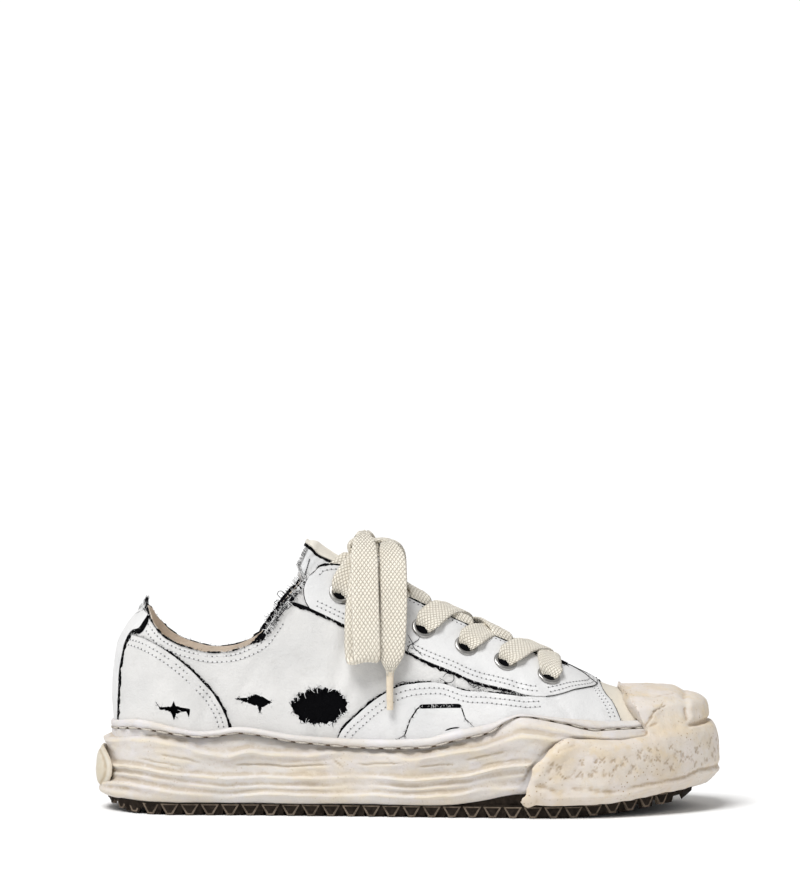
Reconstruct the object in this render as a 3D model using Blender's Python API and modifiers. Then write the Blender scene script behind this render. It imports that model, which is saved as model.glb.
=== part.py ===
"""A worn low-top sneaker for the right foot, standing empty on its sole.

Metres, +X to the toe, +Z up, and -Y is the lateral (outer) side. The tables are in millimetres. Every piece
is worked out from one function, body(), which gives the upper's outer surface, and from outline(), the edge
on which the sole is built. Both take a station s, 0 at the heel and 1 at the toe, and a side.
"""

import math

import bmesh
import bpy
import numpy as np
from mathutils import Vector

MM = 0.001
LATERAL, MEDIAL = -1, 1
SIDES = (("lateral", LATERAL), ("medial", MEDIAL))

# Driving sizes, in millimetres.
HEEL_X, TOE_X = -140.0, 134.0  # the upper's ends, at the height of the footbed
HEEL_ROUND, TOE_ROUND = 36.0, 72.0  # lengths over which the plan view rounds off
HEEL_POWER, TOE_POWER = 2.1, 2.2
WALL = 2.0  # leather and lining together
GAP = 0.3  # between pieces that touch
SOLE_GAP = 0.5  # outsole and midsole, whose facets differ
LACE_WIDTH, LACE_THICK = 13.0, 2.4
THROAT_FRONT = 77.0
COLLAR_END, THROAT_START = -44.0, -30.0  # between them the opening turns from collar to throat

# The last. x is along the foot, lateral and medial are half widths from the centre line, base is the
# footbed, top is where the section would close over the foot, and fullness is the section's power.
SECTIONS = {
    "x": (-140, -105, -75, -40, 0, 40, 65, 90, 118, 134),
    "lateral": (33, 33.5, 34, 36.5, 41, 46, 48.5, 48.5, 45, 42),
    "medial": (33, 33, 31.5, 30, 33, 41, 45.5, 47, 46, 43),
    "centre": (0, 0, -0.5, -1, -1, 0, 0.5, 2, 4, 5),
    "base": (22, 22, 21.5, 20.5, 18.5, 17, 17, 17.5, 19, 21),
    "fullness": (2.8, 2.8, 2.7, 2.6, 2.5, 2.4, 2.3, 2.3, 2.3, 2.3),
}
INSTEP = {
    "x": (-140, -91, -60, -31, 16, 45, 67, 79, 93, 103, 118, 128, 134),
    "top": (150, 146, 133.5, 120, 95.5, 82, 72.5, 66.5, 59.5, 56.5, 54.5, 50, 43),
}
HEEL_LEAN = {"z": (0, 36, 55, 77, 88, 96, 105, 150), "forward": (1.8, 1.6, 0, 2.2, 7.5, 14, 19, 32)}
HEEL_LEAN_REACH = 75.0
COLLAR = {
    "x": (-140, -136, -131, -126, -117, -105, -92, -84, -77, -70, -64, -60, -54, -48, -42),
    "z": (97.5, 95.5, 92.5, 89.5, 84, 79.5, 77, 77.6, 79.8, 83.5, 91, 97, 104, 111, 115.5),
}
THROAT = {"x": (-44, -30, 30, 66, 77), "half_gap": (17, 15.5, 14.5, 13, 8)}

# The sole, by x. The bead sits between groove and bead_top, and the side wall ends at the groove.
SOLE = {
    "x": (-140, -128, -97, -50, -8, 15, 40, 56, 72, 92, 113, 134),
    "bead_top": (43.4, 44.6, 39.5, 37.3, 35.4, 36.5, 42.5, 47.2, 45.2, 43.8, 43.7, 43.7),
    "groove": (38.8, 39.6, 35.2, 33.0, 31.1, 32.0, 37.5, 44.5, 42.5, 39.3, 40.3, 40.3),
}
GROUND = {
    "x": (-140, -137.5, -134, -128, -118, -60, 0, 45, 76, 84, 93, 102, 112, 122, 130, 134),
    "tread": (5.2, 3.0, 1.6, 0.6, 0, 0, 0, 0, 0, 0.5, 1.5, 2.3, 3.6, 4.6, 5.6, 7.5),
    "top": (8.0, 7.3, 6.8, 6.3, 6.0, 5.8, 5.6, 6.2, 6.2, 6.2, 6.8, 7.6, 9.0, 10.6, 12.2, 13.2),
}
# How far the side wall stands out from the outline, from its bottom (0) to the groove (1).
SIDE_WALL = {"v": (0, 0.12, 0.3, 0.5, 0.7, 0.88, 1), "out": (5.2, 7.6, 8.3, 8.0, 7.2, 6.0, 3.6)}
# The sagging folds of the side wall: each is a soft ridge that follows its heights z along x.
FOLDS = (
    {
        "x": (-150, -120, -97, -85, -60, -7, 10, 37, 58),
        "z": (34.3, 33, 28, 26.6, 27.3, 28.4, 26.8, 31, 36),
        "out": 1.5,
        "half": 2.2,
    },
    {"x": (-150, -114, -80, 0, 34, 55), "z": (23.5, 18.5, 17, 16.8, 18, 22.7), "out": 1.3, "half": 2.4},
    {"x": (-150, -105, -82, -58, 60), "z": (12.8, 8.2, 7, 7.9, 8.2), "out": 1.0, "half": 1.8},
)
FOLDS_END, FOLDS_FADE = 62.0, 12.0  # they die away towards the bumper
WALL_THINS = {"toe_x": 70.0, "toe_run": 50.0, "toe": 0.45, "heel_x": -112.0, "heel_run": 20.0, "heel": 0.3}
SIDE_WALL_ROWS = tuple(np.linspace(0, 1, 9))
# The outsole's bars cross the foot. slope is the run of each sloped edge, and depth is the grooves'.
BARS = {"first_x": -132.0, "count": 27, "pitch": 9.6, "flat": 5.8, "slope": 0.7, "depth": 2.6}
BAR_HEEL_X, BAR_TOE_X = -137.5, 128.7  # the solid bars at the two ends
OUTSOLE_OUT = {"foot": 3.0, "rim": 4.2}
BEAD_SIDES, BEAD_HALF = 8, 2.4
BEAD_THINS = {"heel_x": -112.0, "heel_run": 22.0, "heel": 0.45, "toe_x": 112.0, "toe_run": 14.0, "toe": 0.5}
BEAD_GAP = 1.4 * GAP
INSOLE_HIGH, INSOLE_ROOM = 4.4, 0.6
BUMPER_START = 52.5
BUMPER = {
    "x": (52.5, 55, 58, 62.5, 68, 73, 79, 98, 108, 114, 134),
    "top": (11, 17, 23, 29, 33.8, 36.2, 37.4, 36.8, 36.8, 39.5, 43),
}
BUMPER_FOOT = {
    "x": (52.5, 57, 64, 83, 102, 112, 122, 133, 141),
    "z": (7.9, 5.4, 3.4, 3.8, 4.8, 6.5, 7.9, 9.4, 12.5),
}
BUMPER_BULGE = {"v": (0, 0.1, 0.3, 0.55, 0.8, 0.93, 1), "out": (0.55, 0.84, 1, 1, 0.94, 0.8, 0.45)}
BUMPER_OUT = {"x": (52.5, 60, 90, 118, 134), "out": (6.5, 9.5, 10.5, 12.5, 16)}
BUMPER_RIM = {"low_x": 110.8, "high_x": 99.8}  # its rear edge, low on the side and on the top of the toe
# The form over the toe, by the upper's x: how far it stands out level, and how high it is in the middle.
TOE_DOME = {
    "x": (100, 110, 118, 125, 130, 134),
    "out": (3.8, 4.0, 4.8, 6.6, 8.4, 10),
    "top": (60.3, 60.2, 60, 58.8, 55.8, 50),
}
DOME_POWER = 2.3
DOME_STEP = 1.0  # between the bumper's top and the foot of the dome
RIM_OUT = 4.0  # the bumper's least width
CORE_GAP = 1.5 * GAP

EYELETS = {
    "x": (-31.4, -11.8, 7.7, 28.0, 46.6, 67.0),
    "z": (104.5, 96.0, 87.5, 79.0, 71.5, 64.5),
}
EYELET_OUTER, EYELET_INNER = 5.6, 3.7

TONGUE = {
    "x": (-46.5, -45, -42, -36, -30, -20, 30, 64, 84),
    "half": (20.5, 23, 25.5, 27, 27, 26.5, 25, 22, 18),
    "puff": (2.4, 3.5, 4.8, 4.9, 4.4, 1.5, 1.2, 0, 0),
}
TONGUE_THICK = 4.0
TONGUE_SWEEP = 0.014  # in stations: its corners lie further back than its middle

PATCH = {"reach": 0.07, "thick": 2.6, "low": 11.5, "high": 31.0, "edge": 1.0}  # reach is in stations

# Laces. A crossing's out is how far it lies over the leather.
CROSSING_OUT = {
    "toe_bar": 4.4,
    "lateral_over": 4.2,
    "medial_over": 5.0,
    "lateral_to_knot": 4.3,
    "medial_to_knot": 4.0,
}
CROSSING_THICK = 1.8
LACE_DIP = 2.4  # how far a crossing sinks in its middle
UNDER_KNOT = {"x": -21.0, "q": 0.04}
KNOT = {"centre": (-20.5, 0, 124.6), "size": (12, 15, 7)}
# The lateral loop and end, from the knot. The medial ones are their mirror images.
LOOP_ROUTE = (
    (-20.3, -3.5, 129.7),
    (-20.3, -11, 130),
    (-20.2, -19, 127.5),
    (-20, -27.5, 120.3),
    (-19.7, -34.8, 108.5),
    (-19.3, -40.3, 96),
    (-19, -43.5, 84),
    (-19, -45.1, 76),
    (-20.2, -43.2, 73),
    (-22.1, -40.6, 74.8),
    (-22.8, -39.3, 84),
    (-22.7, -36.4, 95.5),
    (-21.4, -32, 107),
    (-20.6, -25.5, 117),
    (-20.4, -17, 123.6),
    (-20.4, -9.2, 126),
)
END_ROUTE = (
    (-6.8, -0.8, 125.4),
    (-6.8, -9, 125.8),
    (-6.7, -18.5, 122.6),
    (-6.4, -27.5, 114),
    (-6.1, -34, 102),
    (-6.5, -38.8, 89.5),
    (-7.3, -41.9, 78),
    (-7.8, -43.4, 67),
)
END_TIP_WIDTH = 3.4
AGLET_LENGTH, AGLET_RADIUS = 16.0, 1.8

STATIONS = 30
TOE_EDGE_T = 0.75  # where edge_t ends at the toe


def smooth(xs, ys):
    """A curve through the points that doesn't overshoot them (monotone cubic), for arrays."""
    xs, ys = np.asarray(xs, float), np.asarray(ys, float)
    steps, rises = np.diff(xs), np.diff(ys)
    slopes = rises / steps
    tangents = np.zeros(len(xs))
    tangents[0], tangents[-1] = slopes[0], slopes[-1]
    for i in range(1, len(xs) - 1):
        if slopes[i - 1] * slopes[i] > 0:
            a, b = 2 * steps[i] + steps[i - 1], steps[i] + 2 * steps[i - 1]
            tangents[i] = (a + b) / (a / slopes[i - 1] + b / slopes[i])

    def at(x):
        x = np.clip(np.asarray(x, float), xs[0], xs[-1])
        i = np.clip(np.searchsorted(xs, x, side="right") - 1, 0, len(xs) - 2)
        u = (x - xs[i]) / steps[i]
        return (
            (1 + 2 * u) * (1 - u) ** 2 * ys[i]
            + u * (1 - u) ** 2 * steps[i] * tangents[i]
            + u * u * (3 - 2 * u) * ys[i + 1]
            + u * u * (u - 1) * steps[i] * tangents[i + 1]
        )

    return at


def by(table, column):
    """The column as a curve over the table's first column."""
    first = next(iter(table))
    return smooth(table[first], table[column])


half_width = {LATERAL: by(SECTIONS, "lateral"), MEDIAL: by(SECTIONS, "medial")}
centre_line, footbed, fullness = by(SECTIONS, "centre"), by(SECTIONS, "base"), by(SECTIONS, "fullness")
instep_top = by(INSTEP, "top")
heel_lean = by(HEEL_LEAN, "forward")
collar_z = by(COLLAR, "z")
throat_gap = by(THROAT, "half_gap")
bead_top, groove = by(SOLE, "bead_top"), by(SOLE, "groove")
tread_z, outsole_top = by(GROUND, "tread"), by(GROUND, "top")
wall_out = by(SIDE_WALL, "out")
folds = [(fold["out"], fold["half"], smooth(fold["x"], fold["z"])) for fold in FOLDS]
bumper_top, bumper_foot = by(BUMPER, "top"), by(BUMPER_FOOT, "z")
bumper_bulge, bumper_out = by(BUMPER_BULGE, "out"), by(BUMPER_OUT, "out")
dome_out, dome_top = by(TOE_DOME, "out"), by(TOE_DOME, "top")
tongue_half, tongue_puff = by(TONGUE, "half"), by(TONGUE, "puff")


def station_x(s):
    """x at station s. The ends are eased as arcs, so that the plan view is round there."""
    s = np.asarray(s, float)
    heel, toe = HEEL_ROUND * math.pi / 2, TOE_ROUND * math.pi / 2
    straight = TOE_X - HEEL_X - HEEL_ROUND - TOE_ROUND
    way = s * (heel + straight + toe)
    at_heel = HEEL_X + HEEL_ROUND * (1 - np.cos(np.clip(way / HEEL_ROUND, 0, math.pi / 2)))
    left = np.clip((heel + straight + toe - way) / TOE_ROUND, 0, math.pi / 2)
    at_toe = TOE_X - TOE_ROUND * (1 - np.cos(left))
    middle = HEEL_X + HEEL_ROUND + way - heel
    return np.where(way < heel, at_heel, np.where(way < heel + straight, middle, at_toe))


def station_of(x):
    """The station at x, by bisection."""
    low, high = 0.0, 1.0
    for _ in range(50):
        middle = (low + high) / 2
        low, high = (middle, high) if station_x(middle) < x else (low, middle)
    return (low + high) / 2


def width(s, side):
    """The half width at the footbed, rounded off at the heel and the toe."""
    x = station_x(s)
    heel = np.clip((x - HEEL_X) / HEEL_ROUND, 0, 1)
    toe = np.clip((TOE_X - x) / TOE_ROUND, 0, 1)
    full = np.where(side < 0, half_width[LATERAL](x), half_width[MEDIAL](x))
    rounded = (1 - (1 - heel) ** HEEL_POWER) ** (1 / HEEL_POWER)
    return full * rounded * (1 - (1 - toe) ** TOE_POWER) ** (1 / TOE_POWER)


def body(s, side, t):
    """The upper's outer surface, in mm: t is 0 at the footbed and 1 over the middle of the foot."""
    s, side, t = np.broadcast_arrays(np.asarray(s, float), side, np.asarray(t, float))
    x = station_x(s)
    base, power, angle = footbed(x), fullness(x), np.clip(t, 0, 1) * math.pi / 2
    z = base + (instep_top(x) - base) * np.sin(angle) ** (2 / power)
    y = centre_line(x) + side * width(s, side) * np.abs(np.cos(angle)) ** (2 / power)
    near_heel = np.clip(1 - (x - HEEL_X) / HEEL_LEAN_REACH, 0, 1) ** 2
    return np.stack([x + heel_lean(z) * near_heel, y, z], axis=-1)


def normal(s, side, t):
    """The outward normal of body(), by differences."""
    s, side, t = np.broadcast_arrays(np.asarray(s, float), side, np.asarray(t, float))
    s, t = np.clip(s, 0.0005, 0.9985), np.clip(t, 0.004, 0.99)
    along = body(s + 0.0004, side, t) - body(s - 0.0004, side, t)
    up = body(s, side, t + 0.003) - body(s, side, t - 0.003)
    out = np.cross(along, up) * -side[..., None]
    return out / np.linalg.norm(out, axis=-1, keepdims=True)


def over(s, side, t, out):
    """A point out millimetres outside body(). Where the two sides meet, it takes their mean normal."""
    n = normal(s, side, t)
    shared = (np.asarray(s) <= 0) | (np.asarray(s) >= 1) | (np.asarray(t) >= 1)
    mean = n + normal(s, -np.asarray(side), t)
    n = np.where(shared[..., None], mean * (1, 0, 1), n)
    n = n / np.linalg.norm(n, axis=-1, keepdims=True)
    return body(s, side, t) + n * np.asarray(out)[..., None]


def outline(s, side, out):
    """Plan view of the footbed's edge, out millimetres outside it: x and y."""
    s, side = np.broadcast_arrays(np.asarray(s, float), side)
    a, b = np.clip(s - 0.0005, 0, 1), np.clip(s + 0.0005, 0, 1)

    def at(where):
        x = station_x(where)
        return np.stack([x, centre_line(x) + side * width(where, side)], axis=-1)

    along = at(b) - at(a)
    n = np.stack([along[..., 1], -along[..., 0]], axis=-1) * -side[..., None]
    n = np.where(((s <= 0) | (s >= 1))[..., None] & (np.arange(2) == 1), 0, n)
    n = n / np.linalg.norm(n, axis=-1, keepdims=True)
    return at(s) + n * np.asarray(out)[..., None]


def t_at_height(x, z):
    """t where body() has the height z."""
    share = np.clip((z - footbed(x)) / (instep_top(x) - footbed(x)), 0, 1)
    return np.arcsin(share ** (fullness(x) / 2)) * 2 / math.pi


def t_at_half_gap(s, side, gap):
    """t where body() lies gap from the centre line, measured level."""
    share = np.clip(gap / np.maximum(width(s, side), 0.1), 0, 1)
    return np.arccos(share ** (fullness(station_x(s)) / 2)) * 2 / math.pi


FRONT_S = station_of(THROAT_FRONT)


def edge_t(s, side):
    """t at the edge of the opening: collar, then throat. Ahead of the throat it only divides the vamp."""
    x = station_x(s)
    collar = t_at_height(x, collar_z(x))
    throat = t_at_half_gap(np.minimum(s, FRONT_S), side, throat_gap(x))
    turn = np.clip((x - COLLAR_END) / (THROAT_START - COLLAR_END), 0, 1)
    ahead = np.clip((s - FRONT_S) / (1 - FRONT_S), 0, 1)
    return (collar * (1 - turn) + throat * turn) * (1 - ahead) + TOE_EDGE_T * ahead


def material(name, colour, roughness, metallic=0.0):
    """A Principled material, made once."""
    made = bpy.data.materials.get(name) or bpy.data.materials.new(name)
    made.use_nodes = True
    shader = made.node_tree.nodes["Principled BSDF"]
    shader.inputs["Base Color"].default_value = (*colour, 1)
    shader.inputs["Roughness"].default_value = roughness
    shader.inputs["Metallic"].default_value = metallic
    return made


class Loft:
    """Gathers vertices in millimetres and faces between them, and makes one object of them."""

    def __init__(self):
        self.mesh = bmesh.new()

    def add(self, points):
        """Vertices for an array of points, in an array of the same shape."""
        points = np.asarray(points, float)
        made = np.empty(points.shape[:-1], object)
        for where in np.ndindex(made.shape):
            made[where] = self.mesh.verts.new(points[where] * MM)
        return made

    def face(self, *corners):
        """A face, unless its corners have run together."""
        if len(set(corners)) > 2:
            self.mesh.faces.new(list(dict.fromkeys(corners)))

    def strip(self, first, second, closed=False):
        """Faces between two rows of vertices."""
        count = len(first)
        for i in range(count if closed else count - 1):
            j = (i + 1) % count
            self.face(first[i], first[j], second[j], second[i])

    def make(self, name, look, merge=1e-6):
        bmesh.ops.remove_doubles(self.mesh, verts=self.mesh.verts, dist=merge)
        bmesh.ops.dissolve_degenerate(self.mesh, edges=self.mesh.edges, dist=merge)
        bmesh.ops.recalc_face_normals(self.mesh, faces=self.mesh.faces)
        data = bpy.data.meshes.new(name)
        self.mesh.to_mesh(data)
        self.mesh.free()
        data.materials.append(look)
        made = bpy.data.objects.new(name, data)
        parts.objects.link(made)
        data.shade_smooth()
        data.set_sharp_from_angle(angle=math.radians(40))
        return made


def around(stations):
    """Stations and sides of a closed loop: heel, lateral side, toe, medial side."""
    inner = stations[1:-1]
    s = np.concatenate([stations[:-1], stations[-1:], inner[::-1]])
    side = np.concatenate([np.full(len(stations), LATERAL), np.full(len(inner), MEDIAL)])
    return s, side


def ring_solid(name, look, stations, rings):
    """A closed solid from loops, the first and last of which are capped straight across the foot."""
    loft = Loft()
    rows = [loft.add(ring) for ring in rings]
    for first, second in zip(rows, rows[1:]):
        loft.strip(first, second, closed=True)
    last = len(stations) - 1
    for row in (rows[0], rows[-1]):
        for i in range(last):
            near = row[-i] if i else row[0]
            far = row[-i - 1] if i + 1 < last else row[last]
            loft.face(row[i], row[i + 1], far, near)
    return loft.make(name, look)


def level(s, side, out, z):
    """A loop of points at the heights z, out millimetres outside the outline."""
    return np.concatenate([outline(s, side, out), np.broadcast_to(z, s.shape)[:, None]], axis=1)


def thinning(x, ends):
    """The share that a form loses towards the heel and towards the toe."""
    to_heel = np.clip((ends["heel_x"] - x) / ends["heel_run"], 0, 1)
    to_toe = np.clip((x - ends["toe_x"]) / ends["toe_run"], 0, 1)
    return ends["heel"] * to_heel + ends["toe"] * to_toe


def wall_loop(s, side, v, grow=0.0):
    """The side wall's loop at v, from its bottom, 0, to the groove, 1."""
    x = station_x(s)
    low, high = outsole_top(x) + SOLE_GAP, groove(x) - GAP / 2
    z = low + (high - low) * v
    out = wall_out(v) * (1 - thinning(x, WALL_THINS))
    behind_bumper = np.clip((FOLDS_END - x) / FOLDS_FADE, 0, 1)
    for height, half, path in folds:
        out = out + height * behind_bumper * np.exp(-(((z - path(x)) / half) ** 2))
    return level(s, side, out + grow, z + grow * (2 * (v > 0.5) - 1) * (v in (0, 1)))


def hug(s, side, z, out):
    """A loop at the heights z that keeps out millimetres from body(), measured level."""
    t = t_at_height(station_x(s), z)
    n = normal(s, side, t)[..., :2]
    n = np.where(((s <= 0) | (s >= 1))[..., None] & (np.arange(2) == 1), 0, n)
    n = n / np.linalg.norm(n, axis=-1, keepdims=True)
    xy = body(s, side, t)[..., :2] + n * np.asarray(out)[..., None]
    return np.concatenate([xy, np.broadcast_to(z, s.shape)[:, None]], axis=1)


def shell_stations():
    """Closer together where the collar climbs to the throat, and with one at the throat's front end."""
    behind = np.linspace(0, FRONT_S, STATIONS * 3 // 4)
    ahead = np.linspace(FRONT_S, 1, STATIONS // 4 + 1)[1:]
    climb = [(a + b) / 2 for a, b in zip(behind, behind[1:]) if -75 < station_x(a) < -42]
    return np.unique(np.concatenate([behind, ahead, climb]))


STATION_LIST = shell_stations()


def solidify(piece, thickness):
    """Gives an open surface its wall, inwards."""
    wall = piece.modifiers.new("wall", "SOLIDIFY")
    wall.thickness = thickness * MM
    wall.offset = -1
    wall.use_even_offset = True


def cut(piece, cutter):
    """Takes the cutter's form out of the piece."""
    modifier = piece.modifiers.new(f"less {cutter.name}", "BOOLEAN")
    modifier.operation = "DIFFERENCE"
    modifier.solver = "EXACT"
    modifier.object = cutter


def move_to(piece, collection):
    for old in list(piece.users_collection):
        old.objects.unlink(piece)
    collection.objects.link(piece)


def primitive(name, look):
    """Names and places the primitive that was just added."""
    made = bpy.context.object
    made.name = name
    made.data.name = name
    made.data.materials.append(look)
    made.data.shade_smooth()
    move_to(made, parts)
    return made


def as_cutter(piece):
    """Puts a helper out of the model, where Booleans still find it."""
    move_to(piece, cutters)
    piece.hide_render = True
    piece.display_type = "WIRE"
    return piece


def build_outsole():
    """A slab with bars across its foot, each a trapezoid in side view."""
    low, high, slope = 0.0, 1.0, BARS["slope"]
    places = [(0.0, low), (station_of(BAR_HEEL_X), low), (station_of(BAR_HEEL_X + slope), high)]
    for k in range(BARS["count"]):
        start = BARS["first_x"] + k * BARS["pitch"]
        far = start + slope + BARS["flat"]
        for x, lifted in ((start, high), (start + slope, low), (far, low), (far + slope, high)):
            places.append((station_of(x), lifted))
    places += [(station_of(BAR_TOE_X - slope), high), (station_of(BAR_TOE_X), low), (1.0, low)]
    stations = np.array([s for s, _ in places])
    lifts = np.array([lifted for _, lifted in places])
    s, side = around(stations)
    lift = np.concatenate([lifts, lifts[1:-1][::-1]])
    x = station_x(s)
    foot = level(s, side, OUTSOLE_OUT["foot"], tread_z(x) + BARS["depth"] * lift)
    rim = level(s, side, OUTSOLE_OUT["rim"], outsole_top(x))
    ring_solid("outsole", material("outsole_rubber", (0.03, 0.025, 0.02), 0.75), stations, [foot, rim])


def build_midsole():
    """A cup: the side wall outside, and inside it the space that the upper's lower edge stands in."""
    s, side = around(STATION_LIST)
    x = station_x(s)
    rings = [wall_loop(s, side, v) for v in SIDE_WALL_ROWS]
    top, floor = groove(x) - GAP / 2, footbed(x) - GAP
    for share in np.linspace(1, 0, 4):
        rings.append(hug(s, side, floor + (top - floor) * share, BEAD_GAP))
    ring_solid("midsole", material("midsole_rubber", (0.78, 0.7, 0.58), 0.6), STATION_LIST, rings)


def bead_rows(s, side, grow=0.0, angles=None):
    """Loops along the bead: its section is an oval that rests against the upper."""
    x = station_x(s)
    middle, half = (bead_top(x) + groove(x)) / 2, (bead_top(x) - groove(x)) / 2 - GAP / 2
    thick = BEAD_HALF * (1 - thinning(x, BEAD_THINS))
    if angles is None:
        angles = [2 * math.pi * k / BEAD_SIDES for k in range(BEAD_SIDES)]
    rows = []
    for angle in angles:
        z = middle + (half + grow) * math.sin(angle)
        rows.append(hug(s, side, z, BEAD_GAP + thick + (thick + grow) * math.cos(angle)))
    return rows


def build_welt():
    """The bead along the top of the side wall, as one closed ring."""
    s, side = around(STATION_LIST)
    loft = Loft()
    rows = [loft.add(row) for row in bead_rows(s, side)]
    for first, second in zip(rows, rows[1:] + rows[:1]):
        loft.strip(first, second, closed=True)
    loft.make("welt", material("welt_rubber", (0.8, 0.74, 0.64), 0.55))


def build_upper():
    """One wall of leather, open at the collar, the throat and underneath."""
    loft = Loft()
    shares = (0, 0.14, 0.3, 0.45, 0.6, 0.74, 0.87, 1)
    vamp = (0.3, 0.6, 0.85, 1)
    rows = []
    for s in STATION_LIST:
        row = {}
        for name, side in SIDES:
            edge = edge_t(s, side)
            t = np.concatenate([edge * np.array(shares), edge + (1 - edge) * np.array(vamp)])
            row[name] = loft.add(over(np.full(len(t), s), side, t, np.zeros(len(t))))
        rows.append(row)
    for i, (back, front) in enumerate(zip(rows, rows[1:])):
        closed = STATION_LIST[i] >= FRONT_S - 1e-9
        count = len(shares) + (len(vamp) if closed else 0)
        for name, _ in SIDES:
            loft.strip(back[name][:count], front[name][:count])
    upper = loft.make("upper", material("white_leather", (0.86, 0.86, 0.85), 0.45), merge=1e-5)
    solidify(upper, WALL)


def build_insole():
    """A sheet on the footbed, just inside the upper."""
    s, side = around(STATION_LIST)
    x = station_x(s)
    rings = [hug(s, side, footbed(x) + height, -WALL - INSOLE_ROOM) for height in (GAP, INSOLE_HIGH)]
    ring_solid("insole", material("insole_leather", (0.62, 0.45, 0.3), 0.7), STATION_LIST, rings)


def tongue_point(s, side, t):
    """The tongue's outer face: just inside the upper, and puffed up where the throat leaves it free."""
    free = np.clip((t - edge_t(s, side) - 0.16) / 0.25, 0, 1)
    return over(s, side, t, -(WALL + 2 * GAP) + tongue_puff(station_x(s)) * free * free * (3 - 2 * free))


def build_tongue():
    """A padded sheet under the throat, whose free end stands up behind the laces."""
    loft = Loft()
    stations = np.linspace(station_of(TONGUE["x"][0]), station_of(TONGUE["x"][-1]), 18)
    rows, off_middle = [], np.linspace(1, 0, 6)
    for k, s in enumerate(stations):
        swept = TONGUE_SWEEP * off_middle**2 * (1 - k / (len(stations) - 1)) ** 3
        points = {}
        for name, side in SIDES:
            t = 1 - (1 - t_at_half_gap(s, side, tongue_half(station_x(s)))) * off_middle
            points[name] = tongue_point(np.full(6, s) - swept, side, t)
        rows.append(loft.add(np.concatenate([points["lateral"], points["medial"][-2::-1]])))
    for back, front in zip(rows, rows[1:]):
        loft.strip(back, front)
    tongue = loft.make("tongue", material("tongue_leather", (0.82, 0.82, 0.82), 0.5))
    solidify(tongue, TONGUE_THICK)


def dome(s, share, foot):
    """The form over the toe, by side: share is 0 at the height foot, and 1 in the middle."""
    x, angle = station_x(s), share * math.pi / 2
    edges = {side: outline(s, side, dome_out(x)) for _, side in SIDES}
    middle = (edges[LATERAL] + edges[MEDIAL]) / 2
    inward = (1 - np.sin(angle) ** DOME_POWER) ** (1 / DOME_POWER)
    z = foot + (dome_top(x) - foot) * np.sin(angle) ** (2 / DOME_POWER)
    found = {}
    for side, edge in edges.items():
        found[side] = np.column_stack([middle + (edge - middle) * inward[:, None], z])
    return found


def build_bumper():
    """The rubber over the toe: one swollen form, less everything that it wraps."""
    low_s, high_s = station_of(BUMPER_RIM["low_x"]), station_of(BUMPER_RIM["high_x"])
    rises = np.array([0, 0.12, 0.32, 0.55, 0.78, 0.92, 1])
    shares = np.array([0.12, 0.3, 0.5, 0.7, 0.86, 1])
    band = [(s, False) for s in np.linspace(station_of(BUMPER_START), low_s - 0.002, 9)]
    cap = [(s, True) for s in np.linspace(low_s, 1, 9)]
    loft = Loft()
    rows = []
    for s, capped in band + cap:
        x = station_x(s)
        foot, top = bumper_foot(x), bumper_top(x)
        rim_s = low_s + (high_s - low_s) * np.sin(shares * math.pi / 2) ** 1.4
        over_s = rim_s + (1 - rim_s) * (s - low_s) / (1 - low_s) if capped else rim_s - 0.002
        row, above_foot = {}, dome(over_s, shares, top + DOME_STEP)
        for name, side in SIDES:
            out = RIM_OUT + (bumper_out(x) - RIM_OUT) * bumper_bulge(rises)
            stations, sides = np.full(len(rises), s), np.full(len(rises), side)
            wall = level(stations, sides, out, foot + (top - foot) * rises)
            if capped:
                above = above_foot[side]
            else:
                above = body(over_s, side, 0.5 + 0.5 * shares) * (1, 0.8, 0.8)
            row[name] = loft.add(np.concatenate([wall, above]))
        rows.append(row)
    for back, front in zip(rows, rows[1:]):
        for name, _ in SIDES:
            loft.strip(back[name], front[name])
        loft.face(back["lateral"][0], front["lateral"][0], front["medial"][0], back["medial"][0])
    first = rows[0]
    for a, b, c, d in zip(first["lateral"], first["lateral"][1:], first["medial"][1:], first["medial"]):
        loft.face(a, b, c, d)
    bumper = loft.make("toe_bumper", material("bumper_rubber", (0.78, 0.68, 0.53), 0.6), merge=1e-5)
    cut(bumper, build_core())


def build_core():
    """Everything inside the bumper, swollen by the gap: outsole, side wall, bead and upper."""
    s, side = around(STATION_LIST)
    x = station_x(s)
    out = OUTSOLE_OUT["rim"] + 2 * GAP
    rings = [level(s, side, out, z) for z in (-6.0, outsole_top(x) + SOLE_GAP - GAP)]
    rings += [wall_loop(s, side, v, grow=CORE_GAP) for v in SIDE_WALL_ROWS]
    rings += bead_rows(s, side, CORE_GAP, angles=np.radians([-45, 0, 45, 90]))
    for share in (0.04, 0.15, 0.3, 0.45, 0.6, 0.75, 0.9, 0.98):
        t0 = t_at_height(x, bead_top(x) + 0.5)
        rings.append(over(s, side, t0 + (1 - t0) * share, np.full(len(s), GAP + 0.1)))
    return as_cutter(ring_solid("core", material("cutter", (1, 0, 0), 1), STATION_LIST, rings))


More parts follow.
